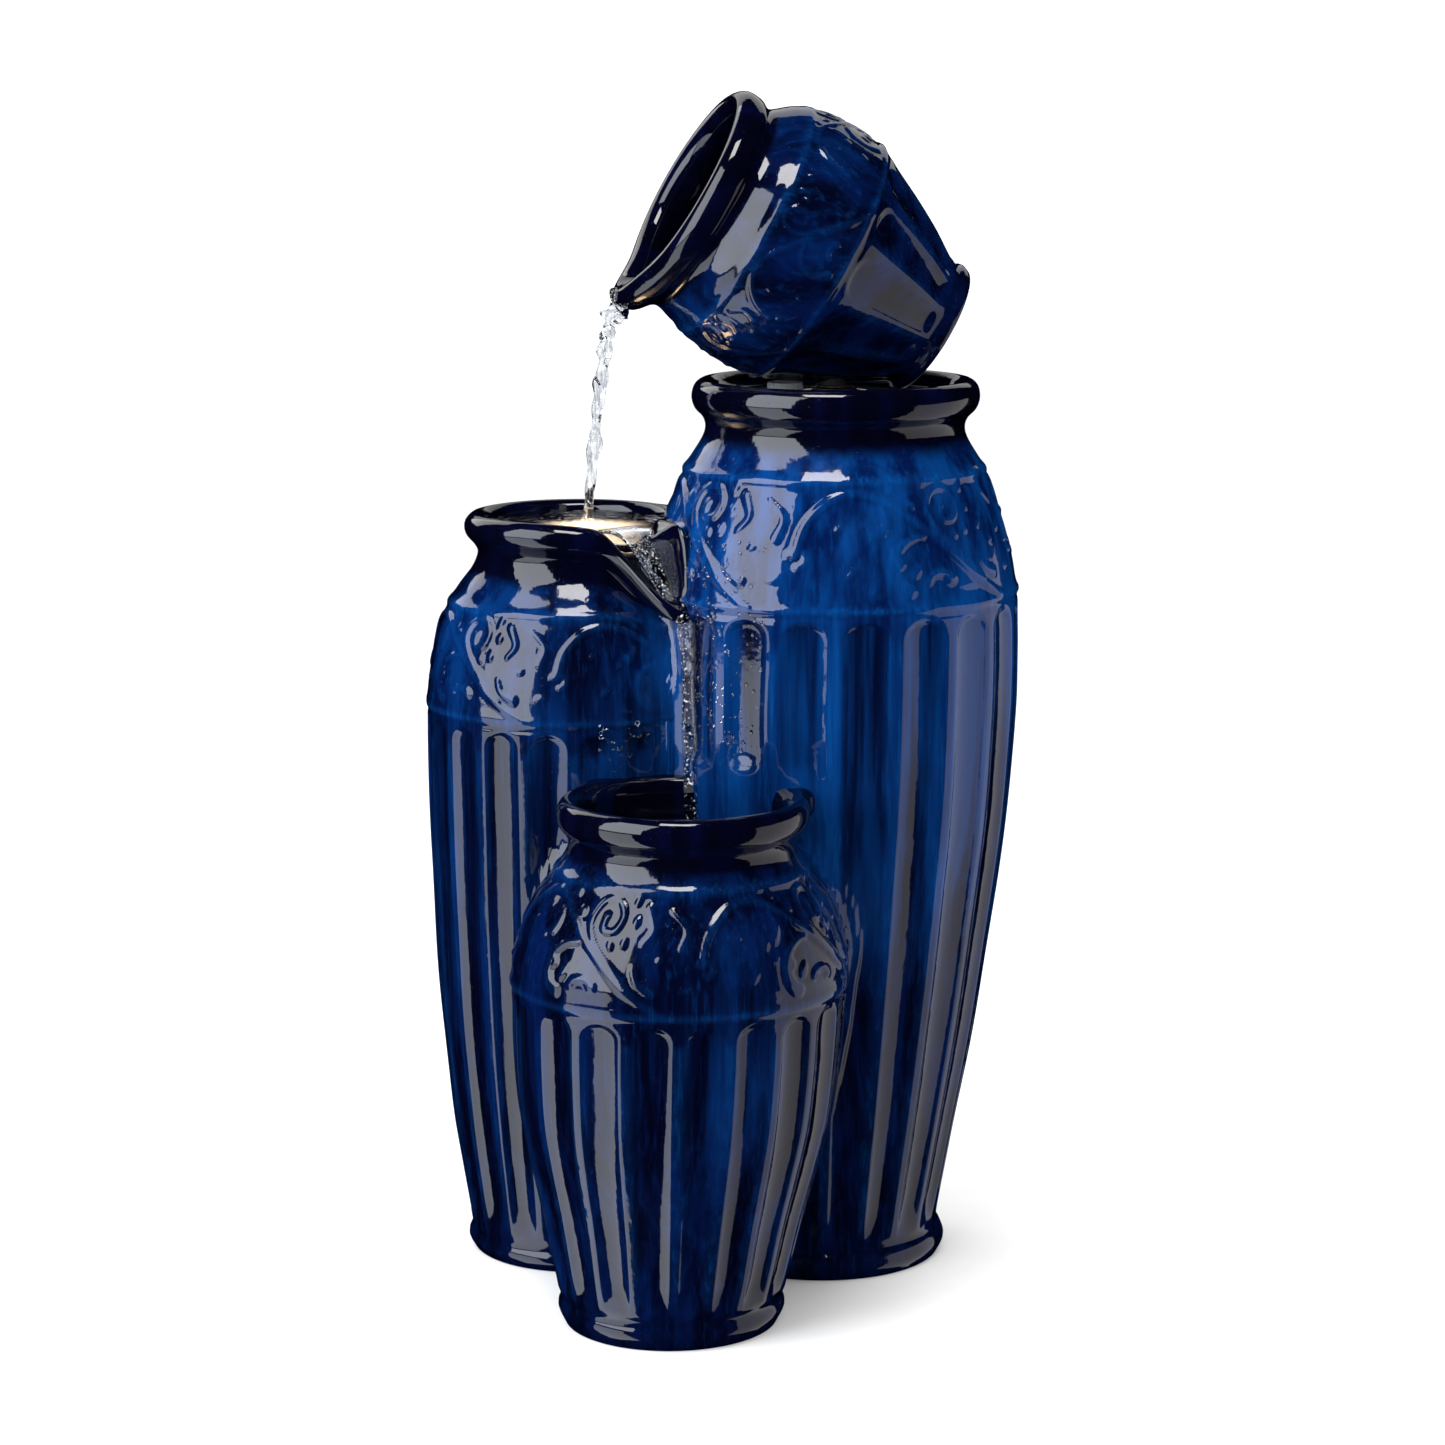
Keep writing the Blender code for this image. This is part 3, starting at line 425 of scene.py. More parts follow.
def joined_radius(jar, others, theta, z, radius, blend, sink, fillet=True):
    """Grows the wall into a fillet where it meets another jar, and stops it just inside that jar's wall."""
    cx, cy = jar.centre(z)
    c, s = np.cos(theta), np.sin(theta)
    reach = radius.copy()
    near = np.full_like(radius, 1e3)
    for other in others:
        if fillet:
            grow = radius.copy()
            for _ in range(7):
                def field(r):
                    a = r - radius
                    b = other.distance(cx + r * c, cy + r * s, z)
                    h = np.maximum(blend - np.abs(a - b), 0)
                    return np.minimum(a, b) - h * h / (4 * blend)

                value = field(grow)
                slope = (field(grow + 1e-5) - value) / 1e-5
                slope = np.where(slope < 0.15, 0.15, slope)
                grow = np.clip(grow - value / slope, radius, radius + blend)
            close = other.distance(cx + radius * c, cy + radius * s, z)
            most = 0.40 * blend * smoothstep(-0.9 * blend, -0.05 * blend, close)
            most = most * (1 - smoothstep(other.top - 0.055, other.top - 0.028, z))
            grow = np.minimum(grow, radius + most)
            reach = np.maximum(reach, grow)
        ox, oy = other.centre(z)
        dx, dy = ox - cx, oy - cy
        ahead = dx * c + dy * s
        aside2 = dx * dx + dy * dy - ahead * ahead
        size = np.where(z <= other.top, other.radius(z) - sink, -1.0)
        hit = (size > 0) & (ahead > 0) & (aside2 < size * size)
        limit = ahead - np.sqrt(np.where(hit, size * size - aside2, 0.0))
        near = np.where(hit, np.minimum(near, limit), near)
    return np.minimum(reach, near), near


def near_others(others, x, y, z):
    """Distance to the nearest of the other jars."""
    return np.minimum.reduce([other.distance(x, y, z) for other in others])


def jar_rows(outline, spacing):
    points, index = catmull(outline)
    return respaced(points, index, spacing)


def build_jar(name, jar, style, outline, inner, others, columns, shape=None, poles=(False, False), hole=None):
    """outline is the outside up to the rim's inner edge, and inner is the rest of the section, to the foot.
    Rings of the inner part close in on hole, when it is given."""
    blend, ridge = FILLET, style["ridge"]

    def spacing(z):
        if z < style["flute_low"]:
            return 0.0026
        if z < style["flute_top"] - 0.022:
            return 0.0085
        if z < ridge + 0.004:
            return 0.0015
        return 0.0022

    rows, index = jar_rows(outline, spacing)
    rows[:, 0] = np.minimum(rows[:, 0], max(r for r, _ in outline))
    rows[:, 1] = np.clip(rows[:, 1], 0.0, max(z for _, z in outline))
    rim = int(np.argmax(rows[:, 1]))
    theta = np.linspace(0, 2 * math.pi, columns, endpoint=False)[None, :] - math.pi
    radius = np.repeat(rows[:, :1], columns, 1)
    z = np.repeat(rows[:, 1:2], columns, 1)
    angle = np.repeat(theta, len(rows), 0)
    outside = (np.arange(len(rows)) <= rim)[:, None]
    step, crest, hollow = relief(angle, z, style)
    dark = darkness(z, style)
    # tone carries painted shade that dims the blue towards the foot, with the glaze's own unevenness.
    bright = tone(angle, z, style)
    cx, cy = jar.centre(z)
    gap = near_others(others, cx + radius * np.cos(angle), cy + radius * np.sin(angle), z)
    clear = smoothstep(0.004, 0.022, gap)
    step = np.where(outside, step * clear, 0.0)
    crest = np.where(outside, crest * clear + 0.35 * (1 - clear), 0.0)
    hollow = np.where(outside, hollow * clear, 0.3)
    grown, near = joined_radius(jar, others, angle, z, radius, blend, 0.003)
    seam = np.clip((grown - radius) / (blend / 4), 0, 1)
    widest = rows[:, 0].max()
    radius = np.where(outside, np.minimum(np.maximum(grown, radius + step), np.maximum(grown, widest)),
                      np.minimum(radius, near - 0.001))
    carved = outside & (grown <= radius + 1e-9) & (step < 0) & (seam < 0.02)
    radius = np.where(carved, np.minimum(grown + step, near), radius)
    if shape:
        radius, z = shape(angle, radius, z, index)
    x = cx + radius * np.cos(angle)
    y = cy + radius * np.sin(angle)
    parts = [np.stack([x, y, z], -1)]
    looks = {"crest": [crest], "hollow": [hollow], "dark": [np.where(outside, dark, 1.0)], "tone": [bright]}
    for r, height in inner:
        inner_r = np.full((1, columns), r)
        inner_z = np.full((1, columns), height)
        _, near = joined_radius(jar, others, theta, inner_z, inner_r, blend, 0.0045, fillet=False)
        inner_r = np.minimum(inner_r, near)
        icx, icy = jar.centre(inner_z)
        if hole:
            moved = float(np.clip((0.075 - r) / (0.075 - HOLE_RADIUS), 0, 1))
            icx, icy = icx + (hole[0] - icx) * moved, icy + (hole[1] - icy) * moved
        parts.append(np.stack([icx + inner_r * np.cos(theta), icy + inner_r * np.sin(theta), inner_z], -1))
        for key, value in (("crest", 0.0), ("hollow", 0.3), ("dark", 1.0), ("tone", 0.3)):
            looks[key].append(np.full((1, columns), value))
    grid = np.concatenate(parts)
    values = {key: np.concatenate(value) for key, value in looks.items()}
    mesh = grid_mesh(name, grid, values, poles=poles, loop=not any(poles))
    return link(name, mesh)


def lip_pull(angle, half_left, half_right, power_right):
    away = (np.degrees(angle) - LIP_BEARING + 180) % 360 - 180
    left, right = np.exp(-((away / half_left) ** 2)), np.exp(-(np.abs(away / half_right) ** power_right))
    return np.where(away < 0, left, right)


LIP_SHARE = [0.0] * 12 + [0.05, 0.16, 0.34, 0.54, 0.80, 0.97, 1.0, 1.0, 0.92, 0.50, 0.06, 0.0]


def pouring_lip(angle, radius, z, index):
    """The middle jar's rim reaches out and dips into the lip."""
    share = np.interp(index, np.arange(len(LIP_SHARE)), LIP_SHARE)[:, None]
    reach = LIP_REACH * lip_pull(angle, 12.0, 10.0, 2) * share
    drop = LIP_DROP * (0.88 * lip_pull(angle, 13.0, 4.0, 4) + 0.12 * lip_pull(angle, 34.0, 4.0, 4)) * share
    reach = radius + reach
    limit = joined_radius(MIDDLE_JAR, [TALL_JAR], angle, z - drop, reach, 0.01, 0.003, fillet=False)[0]
    return limit, z - drop


def wall_rows(outline, first, last, count=1):
    return [(r - WALL, z) for r, z in reversed(outline[first:last:count])]


def tall_jar():
    inner = [(0.0795, DISH_Z + 0.001)] + [(r, DISH_Z) for r in (0.075, 0.060, 0.045, 0.030, HOLE_RADIUS)]
    # The hole for the water's feed is the ring between the rows above and those below the dish.
    under = [(HOLE_RADIUS, DISH_Z - WALL), (0.0780, DISH_Z - WALL)] + wall_rows(TALL_OUTLINE, 4, 17, 2)
    under += [(0.0715, 0.0220), (0.0725, 0.0)]
    return build_jar("glazed_tall_jar", TALL_JAR, TALL_STYLE, TALL_OUTLINE, inner + under,
                     [MIDDLE_JAR, FRONT_JAR], 500, hole=FEED)


def middle_jar():
    outline = list(MIDDLE_OUTLINE) + [(0.0600, 0.4960), (0.0585, WEIR_Z), (0.0560, BASIN_Z)]
    inner = [(0.040, BASIN_Z), (0.020, BASIN_Z), (0.0005, BASIN_Z)]
    inner += [(0.0005, BASIN_Z - WALL), (0.0700, BASIN_Z - WALL)]
    inner += wall_rows(MIDDLE_OUTLINE, 4, 13, 2) + [(0.0650, 0.0200), (0.0655, 0.0)]
    return build_jar("glazed_middle_jar", MIDDLE_JAR, MIDDLE_STYLE, outline, inner, [TALL_JAR, FRONT_JAR],
                     460, pouring_lip)


def front_jar():
    inner = [(0.0655, 0.3330)] + wall_rows(FRONT_OUTLINE, 4, 17, 2)
    inner += [(0.0620, RESERVOIR_Z), (0.03, RESERVOIR_Z)]
    return build_jar("glazed_front_jar", FRONT_JAR, FRONT_STYLE, FRONT_OUTLINE, inner, [TALL_JAR, MIDDLE_JAR],
                     480, poles=(True, True))


# ---------------------------------------------------------------- pouring jug
JUG_DOWN = (Vector((0, 0, -1)) + JUG_WAY * JUG_WAY.z).normalized()
JUG_FRAME = Matrix((JUG_DOWN, JUG_WAY.cross(JUG_DOWN), JUG_WAY)).transposed()
JUG_SHARE = [0.0] * 8 + [0.05, 0.45, 0.85, 1.0, 1.0, 0.95, 0.70, 0.20, 0.0]


def pouring_jug():
    columns = 420

    def spacing(z):
        return 0.0014 if 0.080 < z < 0.158 else 0.0022

    rows, index = jar_rows(JUG_OUTLINE, spacing)
    rows[:, 1] = np.clip(rows[:, 1], 0.0, 0.1960)
    rim = int(np.argmax(rows[:, 1]))
    turns = np.linspace(0, 2 * math.pi, columns, endpoint=False) - math.pi
    angle = np.repeat(turns[None, :], len(rows), 0)
    radius = np.repeat(rows[:, :1], columns, 1)
    t = np.repeat(rows[:, 1:2], columns, 1)
    outside = (np.arange(len(rows)) <= rim)[:, None]
    step, crest, hollow = relief(angle, t, JUG_STYLE)
    dark = darkness(t, JUG_STYLE)
    share = np.interp(index, np.arange(len(JUG_SHARE)), JUG_SHARE)[:, None]
    away = np.degrees(angle)
    lift = np.exp(-((away / JUG_LIP_WIDTH) ** 2)) * share
    radius = np.where(outside, np.minimum(radius + step, rows[:, 0].max()), radius) + JUG_LIP_REACH * lift
    t = t + JUG_LIP_FORWARD * lift
    local = np.stack([radius * np.cos(angle), radius * np.sin(angle), t], -1)
    turn = np.array(JUG_FRAME)
    world = local @ turn.T + np.array(JUG_FOOT)
    values = {
        "crest": np.where(outside, crest, 0.0), "hollow": np.where(outside, hollow, 0.3),
        "dark": np.where(outside, dark, 1.0), "tone": tone(angle, t, JUG_STYLE),
    }
    mesh = grid_mesh("glazed_jug", world, values, poles=(True, True))
    return link("glazed_jug", mesh)


# ---------------------------------------------------------------- materials
class Nodes:
    """A short way to build a node material."""

    def __init__(self, name):
        self.material = bpy.data.materials.new(name)
        self.material.use_nodes = True
        self.tree = self.material.node_tree
        self.shader = self.tree.nodes["Principled BSDF"]

    def add(self, kind, **settings):
        node = self.tree.nodes.new(kind)
        for key, value in settings.items():
            setattr(node, key, value)
        return node

    def put(self, target, value):
        if isinstance(value, bpy.types.NodeSocket):
            self.tree.links.new(value, target)
        else:
            target.default_value = value

    def set(self, **values):
        for key, value in values.items():
            self.put(self.shader.inputs[key.replace("_", " ")], value)

    def attribute(self, name):
        return self.add("ShaderNodeAttribute", attribute_name=name).outputs["Fac"]

    def coordinates(self, scale=(1, 1, 1)):
        place = self.add("ShaderNodeTexCoord").outputs["Object"]
        stretch = self.add("ShaderNodeMapping")
        self.put(stretch.inputs["Vector"], place)
        stretch.inputs["Scale"].default_value = scale
        return stretch.outputs["Vector"]

    def noise(self, vector, scale, detail=3.0, roughness=0.55, distortion=0.0):
        node = self.add("ShaderNodeTexNoise")
        self.put(node.inputs["Vector"], vector)
        settings = {"Scale": scale, "Detail": detail, "Roughness": roughness, "Distortion": distortion}
        for key, value in settings.items():
            node.inputs[key].default_value = value
        return node.outputs["Fac"]

    def math(self, operation, a, b=0.0, c=None, clamp=False):
        node = self.add("ShaderNodeMath", operation=operation, use_clamp=clamp)
        self.put(node.inputs[0], a)
        self.put(node.inputs[1], b)
        if c is not None:
            self.put(node.inputs[2], c)
        return node.outputs[0]

    def ramp(self, value, low, high, to_low=0.0, to_high=1.0):
        node = self.add("ShaderNodeMapRange", interpolation_type="SMOOTHSTEP")
        for key, number in (("From Min", low), ("From Max", high), ("To Min", to_low), ("To Max", to_high)):
            node.inputs[key].default_value = number
        self.put(node.inputs["Value"], value)
        return node.outputs["Result"]

    def mix(self, factor, a, b):
        node = self.add("ShaderNodeMix", data_type="RGBA")
        self.put(node.inputs["Factor"], factor)
        self.put(node.inputs["A"], (*a, 1.0) if isinstance(a, tuple) else a)
        self.put(node.inputs["B"], (*b, 1.0) if isinstance(b, tuple) else b)
        return node.outputs["Result"]

    def bump(self, height, strength, distance, normal=None):
        node = self.add("ShaderNodeBump")
        node.inputs["Strength"].default_value = strength
        node.inputs["Distance"].default_value = distance
        self.put(node.inputs["Height"], height)
        if normal is not None:
            self.put(node.inputs["Normal"], normal)
        return node.outputs["Normal"]


def glaze_material(name, along=(0, 0, 1)):
    """Thick cobalt glaze: near black where it pools and on rims, azure on crests, with streaks that ran."""
    n = Nodes(name)
    crest, hollow, dark = (n.attribute(key) for key in ("crest", "hollow", "dark"))
    streaks = n.coordinates((1.0, 1.0, 0.045)) if along == (0, 0, 1) else n.coordinates((0.30, 1.0, 0.55))
    plain = n.coordinates()
    fine = n.noise(streaks, 330.0, 4.0, 0.65)
    broad = n.noise(streaks, 60.0, 3.0, 0.55)
    cloud = n.noise(plain, 9.0, 3.0, 0.5)
    blotch = n.noise(plain, 42.0, 4.0, 0.6, 0.6)
    deep = n.mix(n.ramp(broad, 0.38, 0.66), (0.0004, 0.0008, 0.006), (0.0006, 0.0042, 0.032))
    lively = n.mix(n.ramp(broad, 0.36, 0.66), (0.0005, 0.0052, 0.040), (0.0010, 0.0290, 0.135))
    # level carries the painted shade from tone, darker towards the foot, with random clouding.
    level = n.math("ADD", n.attribute("tone"), n.math("MULTIPLY", n.math("SUBTRACT", cloud, 0.5), 1.3))
    royal = n.mix(n.ramp(level, 0.10, 0.95), deep, lively)
    run = n.math("MULTIPLY", n.ramp(fine, 0.50, 0.74), n.ramp(level, 0.0, 0.9, 0.18, 0.45))
    royal = n.mix(run, royal, (0.0010, 0.029, 0.140))
    azure = n.mix(n.ramp(fine, 0.40, 0.70), (0.0009, 0.022, 0.115), (0.0016, 0.058, 0.215))
    shine = n.math("MULTIPLY", crest, n.ramp(blotch, 0.25, 0.55, 0.45, 1.0))
    body = n.mix(n.math("MULTIPLY", shine, n.ramp(level, 0.0, 1.0, 0.25, 0.75)), royal, azure)
    ink = n.mix(n.ramp(fine, 0.45, 0.75), (0.0004, 0.0006, 0.0040), (0.0006, 0.0026, 0.0240))
    pooled = n.math("MULTIPLY", hollow, n.ramp(broad, 0.35, 0.62, 0.95, 0.30))
    body = n.mix(pooled, body, ink)
    edge = n.ramp(n.math("ADD", dark, n.math("MULTIPLY", n.math("SUBTRACT", broad, 0.5), 0.8)), 0.30, 0.80)
    rim = n.mix(n.ramp(broad, 0.40, 0.72), (0.0005, 0.0006, 0.0036), (0.0007, 0.0012, 0.0110))
    colour = n.mix(edge, body, rim)
    speck = n.noise(plain, 900.0, 2.0, 0.5)
    colour = n.mix(n.ramp(speck, 0.735, 0.775, 0.0, 0.65), colour, (0.0006, 0.0006, 0.002))
    height = n.math("ADD", n.math("MULTIPLY", n.noise(plain, 85.0, 2.0, 0.5), 0.7),
                    n.math("MULTIPLY", n.noise(streaks, 160.0, 2.0, 0.5), 0.35))
    pit = n.ramp(speck, 0.72, 0.78, 0.0, -0.9)
    normal = n.bump(n.math("ADD", height, pit), 0.22, 0.0011)
    rough = n.ramp(n.noise(plain, 30.0, 3.0), 0.35, 0.75, 0.035, 0.095)
    n.set(Base_Color=colour, Roughness=rough, Normal=normal)
    n.set(IOR=1.52)
    return n.material


def moulded(name, colour, roughness, grain=700.0, depth=0.00012, worn=0.25):
    """Moulded plastic or rubber: fine grain, faint flow marks and rubbed high spots."""
    n = Nodes(name)
    plain = n.coordinates()
    flow = n.noise(plain, 55.0, 3.0, 0.6, 0.8)
    grit = n.noise(plain, grain, 2.0, 0.6)
    lighter = tuple(min(1.0, c * 1.8 + 0.012) for c in colour)
    tone = n.mix(n.math("MULTIPLY", n.ramp(flow, 0.40, 0.75), worn), colour, lighter)
    n.set(Base_Color=tone, Roughness=n.ramp(grit, 0.3, 0.7, roughness * 0.8, min(1.0, roughness * 1.25)))
    n.set(Normal=n.bump(grit, 0.35, depth))
    return n.material


def clear_like(name, colour, roughness, weight, ior=1.45):
    n = Nodes(name)
    plain = n.coordinates()
    haze = n.noise(plain, 120.0, 3.0, 0.6)
    n.set(Base_Color=n.mix(n.ramp(haze, 0.3, 0.75), colour, tuple(c * 0.9 for c in colour)))
    n.set(Roughness=n.ramp(haze, 0.3, 0.8, roughness * 0.7, roughness * 1.4))
    n.set(Transmission_Weight=weight, IOR=ior)
    n.set(Normal=n.bump(haze, 0.15, 0.0004))
    return n.material


def steel_material(name):
    n = Nodes(name)
    lines = n.noise(n.coordinates((1.0, 1.0, 30.0)), 260.0, 2.0)
    n.set(Base_Color=n.mix(lines, (0.50, 0.51, 0.53), (0.70, 0.70, 0.71)), Metallic=1.0)
    n.set(Roughness=n.ramp(lines, 0.3, 0.7, 0.18, 0.34), Normal=n.bump(lines, 0.2, 0.0001))
    return n.material


def ceramic_material(name):
    n = Nodes(name)
    grit = n.noise(n.coordinates(), 900.0, 3.0)
    n.set(Base_Color=n.mix(grit, (0.80, 0.79, 0.75), (0.90, 0.89, 0.86)))
    n.set(Roughness=0.28, Normal=n.bump(grit, 0.2, 0.0001))
    return n.material


def board_material(name):
    n = Nodes(name)
    plain = n.coordinates()
    cells = n.add("ShaderNodeTexVoronoi")
    n.put(cells.inputs["Vector"], plain)
    cells.inputs["Scale"].default_value = 260.0
    pads = n.ramp(cells.outputs["Distance"], 0.20, 0.26, 1.0, 0.0)
    n.set(Base_Color=n.mix(pads, (0.012, 0.16, 0.055), (0.60, 0.48, 0.20)), Roughness=0.35)
    n.set(Normal=n.bump(pads, 0.4, 0.0002))
    return n.material


def lamp_material(name):
    n = Nodes(name)
    glow = n.noise(n.coordinates(), 140.0, 2.0)
    n.set(Base_Color=n.mix(glow, (0.95, 0.80, 0.55), (1.0, 0.88, 0.66)), Roughness=0.25)
    n.set(Emission_Color=(1.0, 0.62, 0.28, 1.0), Emission_Strength=9.0)
    return n.material


def water_material(name, foam=0.0, swirl=90.0, tint=(0.93, 0.97, 1.0), bump=0.30, strands=0.0):
    """Clear water with fine ripples. foam puts air in it, and strands puts painted dark reflection streaks
    down it.
    """
    n = Nodes(name)
    plain = n.coordinates()
    ripple = n.noise(plain, swirl, 3.0, 0.6, 0.8)
    bubble = n.noise(plain, 620.0, 2.0, 0.6)
    white = n.ramp(bubble, 0.62 - foam * 0.25, 0.70 - foam * 0.20, 0.0, 1.0)
    # Painted reflection: dark streaks in the water's colour, as much as strands asks for.
    painted_reflection_streak = n.noise(n.coordinates((1.0, 1.0, 0.10)), 520.0, 2.0, 0.5, 0.4)
    clear = n.mix(n.math("MULTIPLY", n.ramp(painted_reflection_streak, 0.46, 0.60), strands), tint, (0.20, 0.22, 0.25))
    n.set(Base_Color=n.mix(white, clear, (1.0, 1.0, 1.0)), Roughness=0.0, IOR=1.333)
    n.set(Transmission_Weight=n.math("SUBTRACT", 1.0, n.math("MULTIPLY", white, 0.75 if foam else 0.0)))
    n.set(Normal=n.bump(ripple, bump, 0.0010))
    return n.material


def pool_material(name):
    """Still water with a painted warm glow standing in for the lamp below, round the place where the stream
    lands.
    """
    material = water_material(name, 0.0, 60.0, bump=0.15)
    n = Nodes.__new__(Nodes)
    n.material, n.tree = material, material.node_tree
    n.shader = n.tree.nodes["Principled BSDF"]
    place = n.add("ShaderNodeTexCoord").outputs["Object"]
    apart = n.add("ShaderNodeVectorMath", operation="SUBTRACT")
    n.put(apart.inputs[0], place)
    apart.inputs[1].default_value = PAINTED_GLOW_AT
    squeeze = n.add("ShaderNodeVectorMath", operation="MULTIPLY")
    n.put(squeeze.inputs[0], apart.outputs[0])
    squeeze.inputs[1].default_value = (1.0, 1.25, 0.0)
    size = n.add("ShaderNodeVectorMath", operation="LENGTH")
    n.put(size.inputs[0], squeeze.outputs[0])
    # Painted glow: emission on the water stands in for the lamp's light from below, broken up by a noise.
    foam = n.noise(place, 420.0, 3.0, 0.65)
    painted_glow_spot = n.ramp(size.outputs["Value"], 0.010, 0.042, 1.0, 0.0)
    glow = n.math("MULTIPLY", painted_glow_spot, n.ramp(foam, 0.25, 0.60, 0.60, 1.0))
    n.set(Emission_Color=(1.0, 0.72, 0.47, 1.0), Emission_Strength=n.math("MULTIPLY", glow, 1.45))
    return material


# ---------------------------------------------------------------- water
def tube_mesh(name, path, radii, strands=12, twist=0.0, wobble=0.0, seed=5):
    """A closed tube whose section is uneven and turns along it, like falling water."""
    pts = np.array(path, float)
    along = np.gradient(pts, axis=0)
    along /= np.linalg.norm(along, axis=1)[:, None]
    side = np.cross(along, np.array([0.0, 1.0, 0.0]))
    side /= np.linalg.norm(side, axis=1)[:, None]
    up = np.cross(side, along)
    turns = np.linspace(0, 2 * math.pi, strands, endpoint=False)[None, :]
    run = np.linspace(0, 1, len(pts))[:, None]
    size = np.array(radii)[:, None]
    uneven = 1 + wobble * np.sin(2 * turns + twist * run * 2 * math.pi) + 0.5 * wobble * np.sin(
        3 * turns - 1.7 * twist * run * 2 * math.pi + seed)
    size = size * uneven * (1 + 0.5 * wobble * np.sin(run * 43 + seed) * np.sin(run * 17))
    rows = (pts[:, None, :] + size[..., None] * (np.cos(turns)[..., None] * side[:, None, :]
            + np.sin(turns)[..., None] * up[:, None, :]))
    return grid_mesh(name, rows, {}, poles=(True, True))


def fall(start, speed, height, steps):
    """Points on the arc of water that leaves start at a level speed (x, y) and falls by height."""
    time = math.sqrt(2 * height / 9.81)
    t = np.linspace(0, 1, steps) * time
    return np.stack([start[0] + speed[0] * t, start[1] + speed[1] * t, start[2] - 0.5 * 9.81 * t * t], 1)


JUG_SPOUT = (-0.0655, 0.0612, 0.6450)
POOL_HIT = (-0.0887, 0.0747, POOL_Z)
LIP_TIP = (-0.0250, -0.0135, 0.4475)
BOWL_HIT = (-0.0190, -0.0190, BOWL_Z)


def top_stream():
    height = JUG_SPOUT[2] - POOL_HIT[2]
    time = math.sqrt(2 * height / 9.81)
    speed = [(POOL_HIT[k] - JUG_SPOUT[k]) / time for k in (0, 1)]
    path = fall(JUG_SPOUT, speed, height + 0.002, 90)
    run = np.linspace(0, 1, 90)
    radii = 0.0066 - 0.0032 * np.minimum(run / 0.75, 1) ** 0.7
    radii = radii * (1 + 0.28 * np.sin(run * 58) * (1 - run) + 0.16 * np.sin(run * 33 + 1))
    mesh = tube_mesh("falling_water_top", path, radii, 16, 5.0, 0.30)
    return link("falling_water_top", mesh)


def pool():
    """Rippled water in the basin, domed slightly where the stream lands."""
    columns, rings = 160, 44
    theta = np.linspace(0, 2 * math.pi, columns, endpoint=False)[None, :]
    share = np.linspace(0.02, 1, rings)[:, None]
    edge = np.full((1, columns), 0.0612)
    z = np.full((1, columns), POOL_Z)
    edge, _ = joined_radius(MIDDLE_JAR, [TALL_JAR], theta, z, edge, 0.01, 0.002, fillet=False)
    reach = edge * share
    x = MIDDLE_AXIS[0] + reach * np.cos(theta)
    y = MIDDLE_AXIS[1] + reach * np.sin(theta)
    away = np.hypot(x - POOL_HIT[0], y - POOL_HIT[1])
    height = 0.0005 * np.sin(away * 900) * np.exp(-away * 34) + 0.0016 * np.exp(-(away / 0.006) ** 2)
    height = height + 0.00018 * np.sin(x * 330 + 40 * y) * np.sin(y * 410 + 1) * smoothstep(0.0, 0.02, away)
    weir = lip_pull(np.arctan2(y - MIDDLE_AXIS[1], x - MIDDLE_AXIS[0]), 16, 10, 2)
    height = height - 0.006 * weir * smoothstep(0.045, 0.060, reach)
    top = np.stack([x, y, POOL_Z + height], -1)[::-1]
    low = np.stack([x[-1:], y[-1:], np.full((1, columns), POOL_Z - 0.012)], -1)
    rows = np.concatenate([top[::-1], low])
    mesh = grid_mesh("water_pool", rows, {}, poles=(True, True))
    return link("water_pool", mesh)


def bowl_water():
    columns, rings = 160, 40
    theta = np.linspace(0, 2 * math.pi, columns, endpoint=False)[None, :]
    share = np.linspace(0.02, 1, rings)[:, None]
    z = np.full((1, columns), BOWL_Z)
    edge = np.full((1, columns), 0.0690)
    edge, _ = joined_radius(FRONT_JAR, [TALL_JAR, MIDDLE_JAR], theta, z, edge, 0.01, 0.002, fillet=False)
    cx, cy = FRONT_JAR.centre(BOWL_Z)
    reach = edge * share
    x = cx + reach * np.cos(theta)
    y = cy + reach * np.sin(theta)
    away = np.hypot(x - BOWL_HIT[0], y - BOWL_HIT[1])
    height = 0.0018 * np.sin(away * 620) * np.exp(-away * 26) + 0.0005 * np.sin(x * 260) * np.sin(y * 300)
    top = np.stack([x, y, BOWL_Z + height], -1)
    low = np.stack([x[-1:], y[-1:], np.full((1, columns), BOWL_Z - 0.020)], -1)
    mesh = grid_mesh("water_bowl", np.concatenate([top, low]), {}, poles=(True, True))
    return link("water_bowl", mesh)


def lower_stream():
    height = LIP_TIP[2] - BOWL_HIT[2]
    time = math.sqrt(2 * height / 9.81)
    speed = [(BOWL_HIT[k] - LIP_TIP[k]) / time for k in (0, 1)]
    path = fall(LIP_TIP, speed, height + 0.002, 130)
    run = np.linspace(0, 1, 130)
    radii = 0.0046 - 0.0012 * np.minimum(run / 0.5, 1) + 0.0012 * smoothstep(0.75, 1.0, run)
    radii = radii * (1 + 0.05 * np.sin(run * 31) + 0.04 * np.sin(run * 19 + 1))
    mesh = tube_mesh("falling_water_lower", path, radii, 20, 1.5, 0.10, seed=9)
    return link("falling_water_lower", mesh)


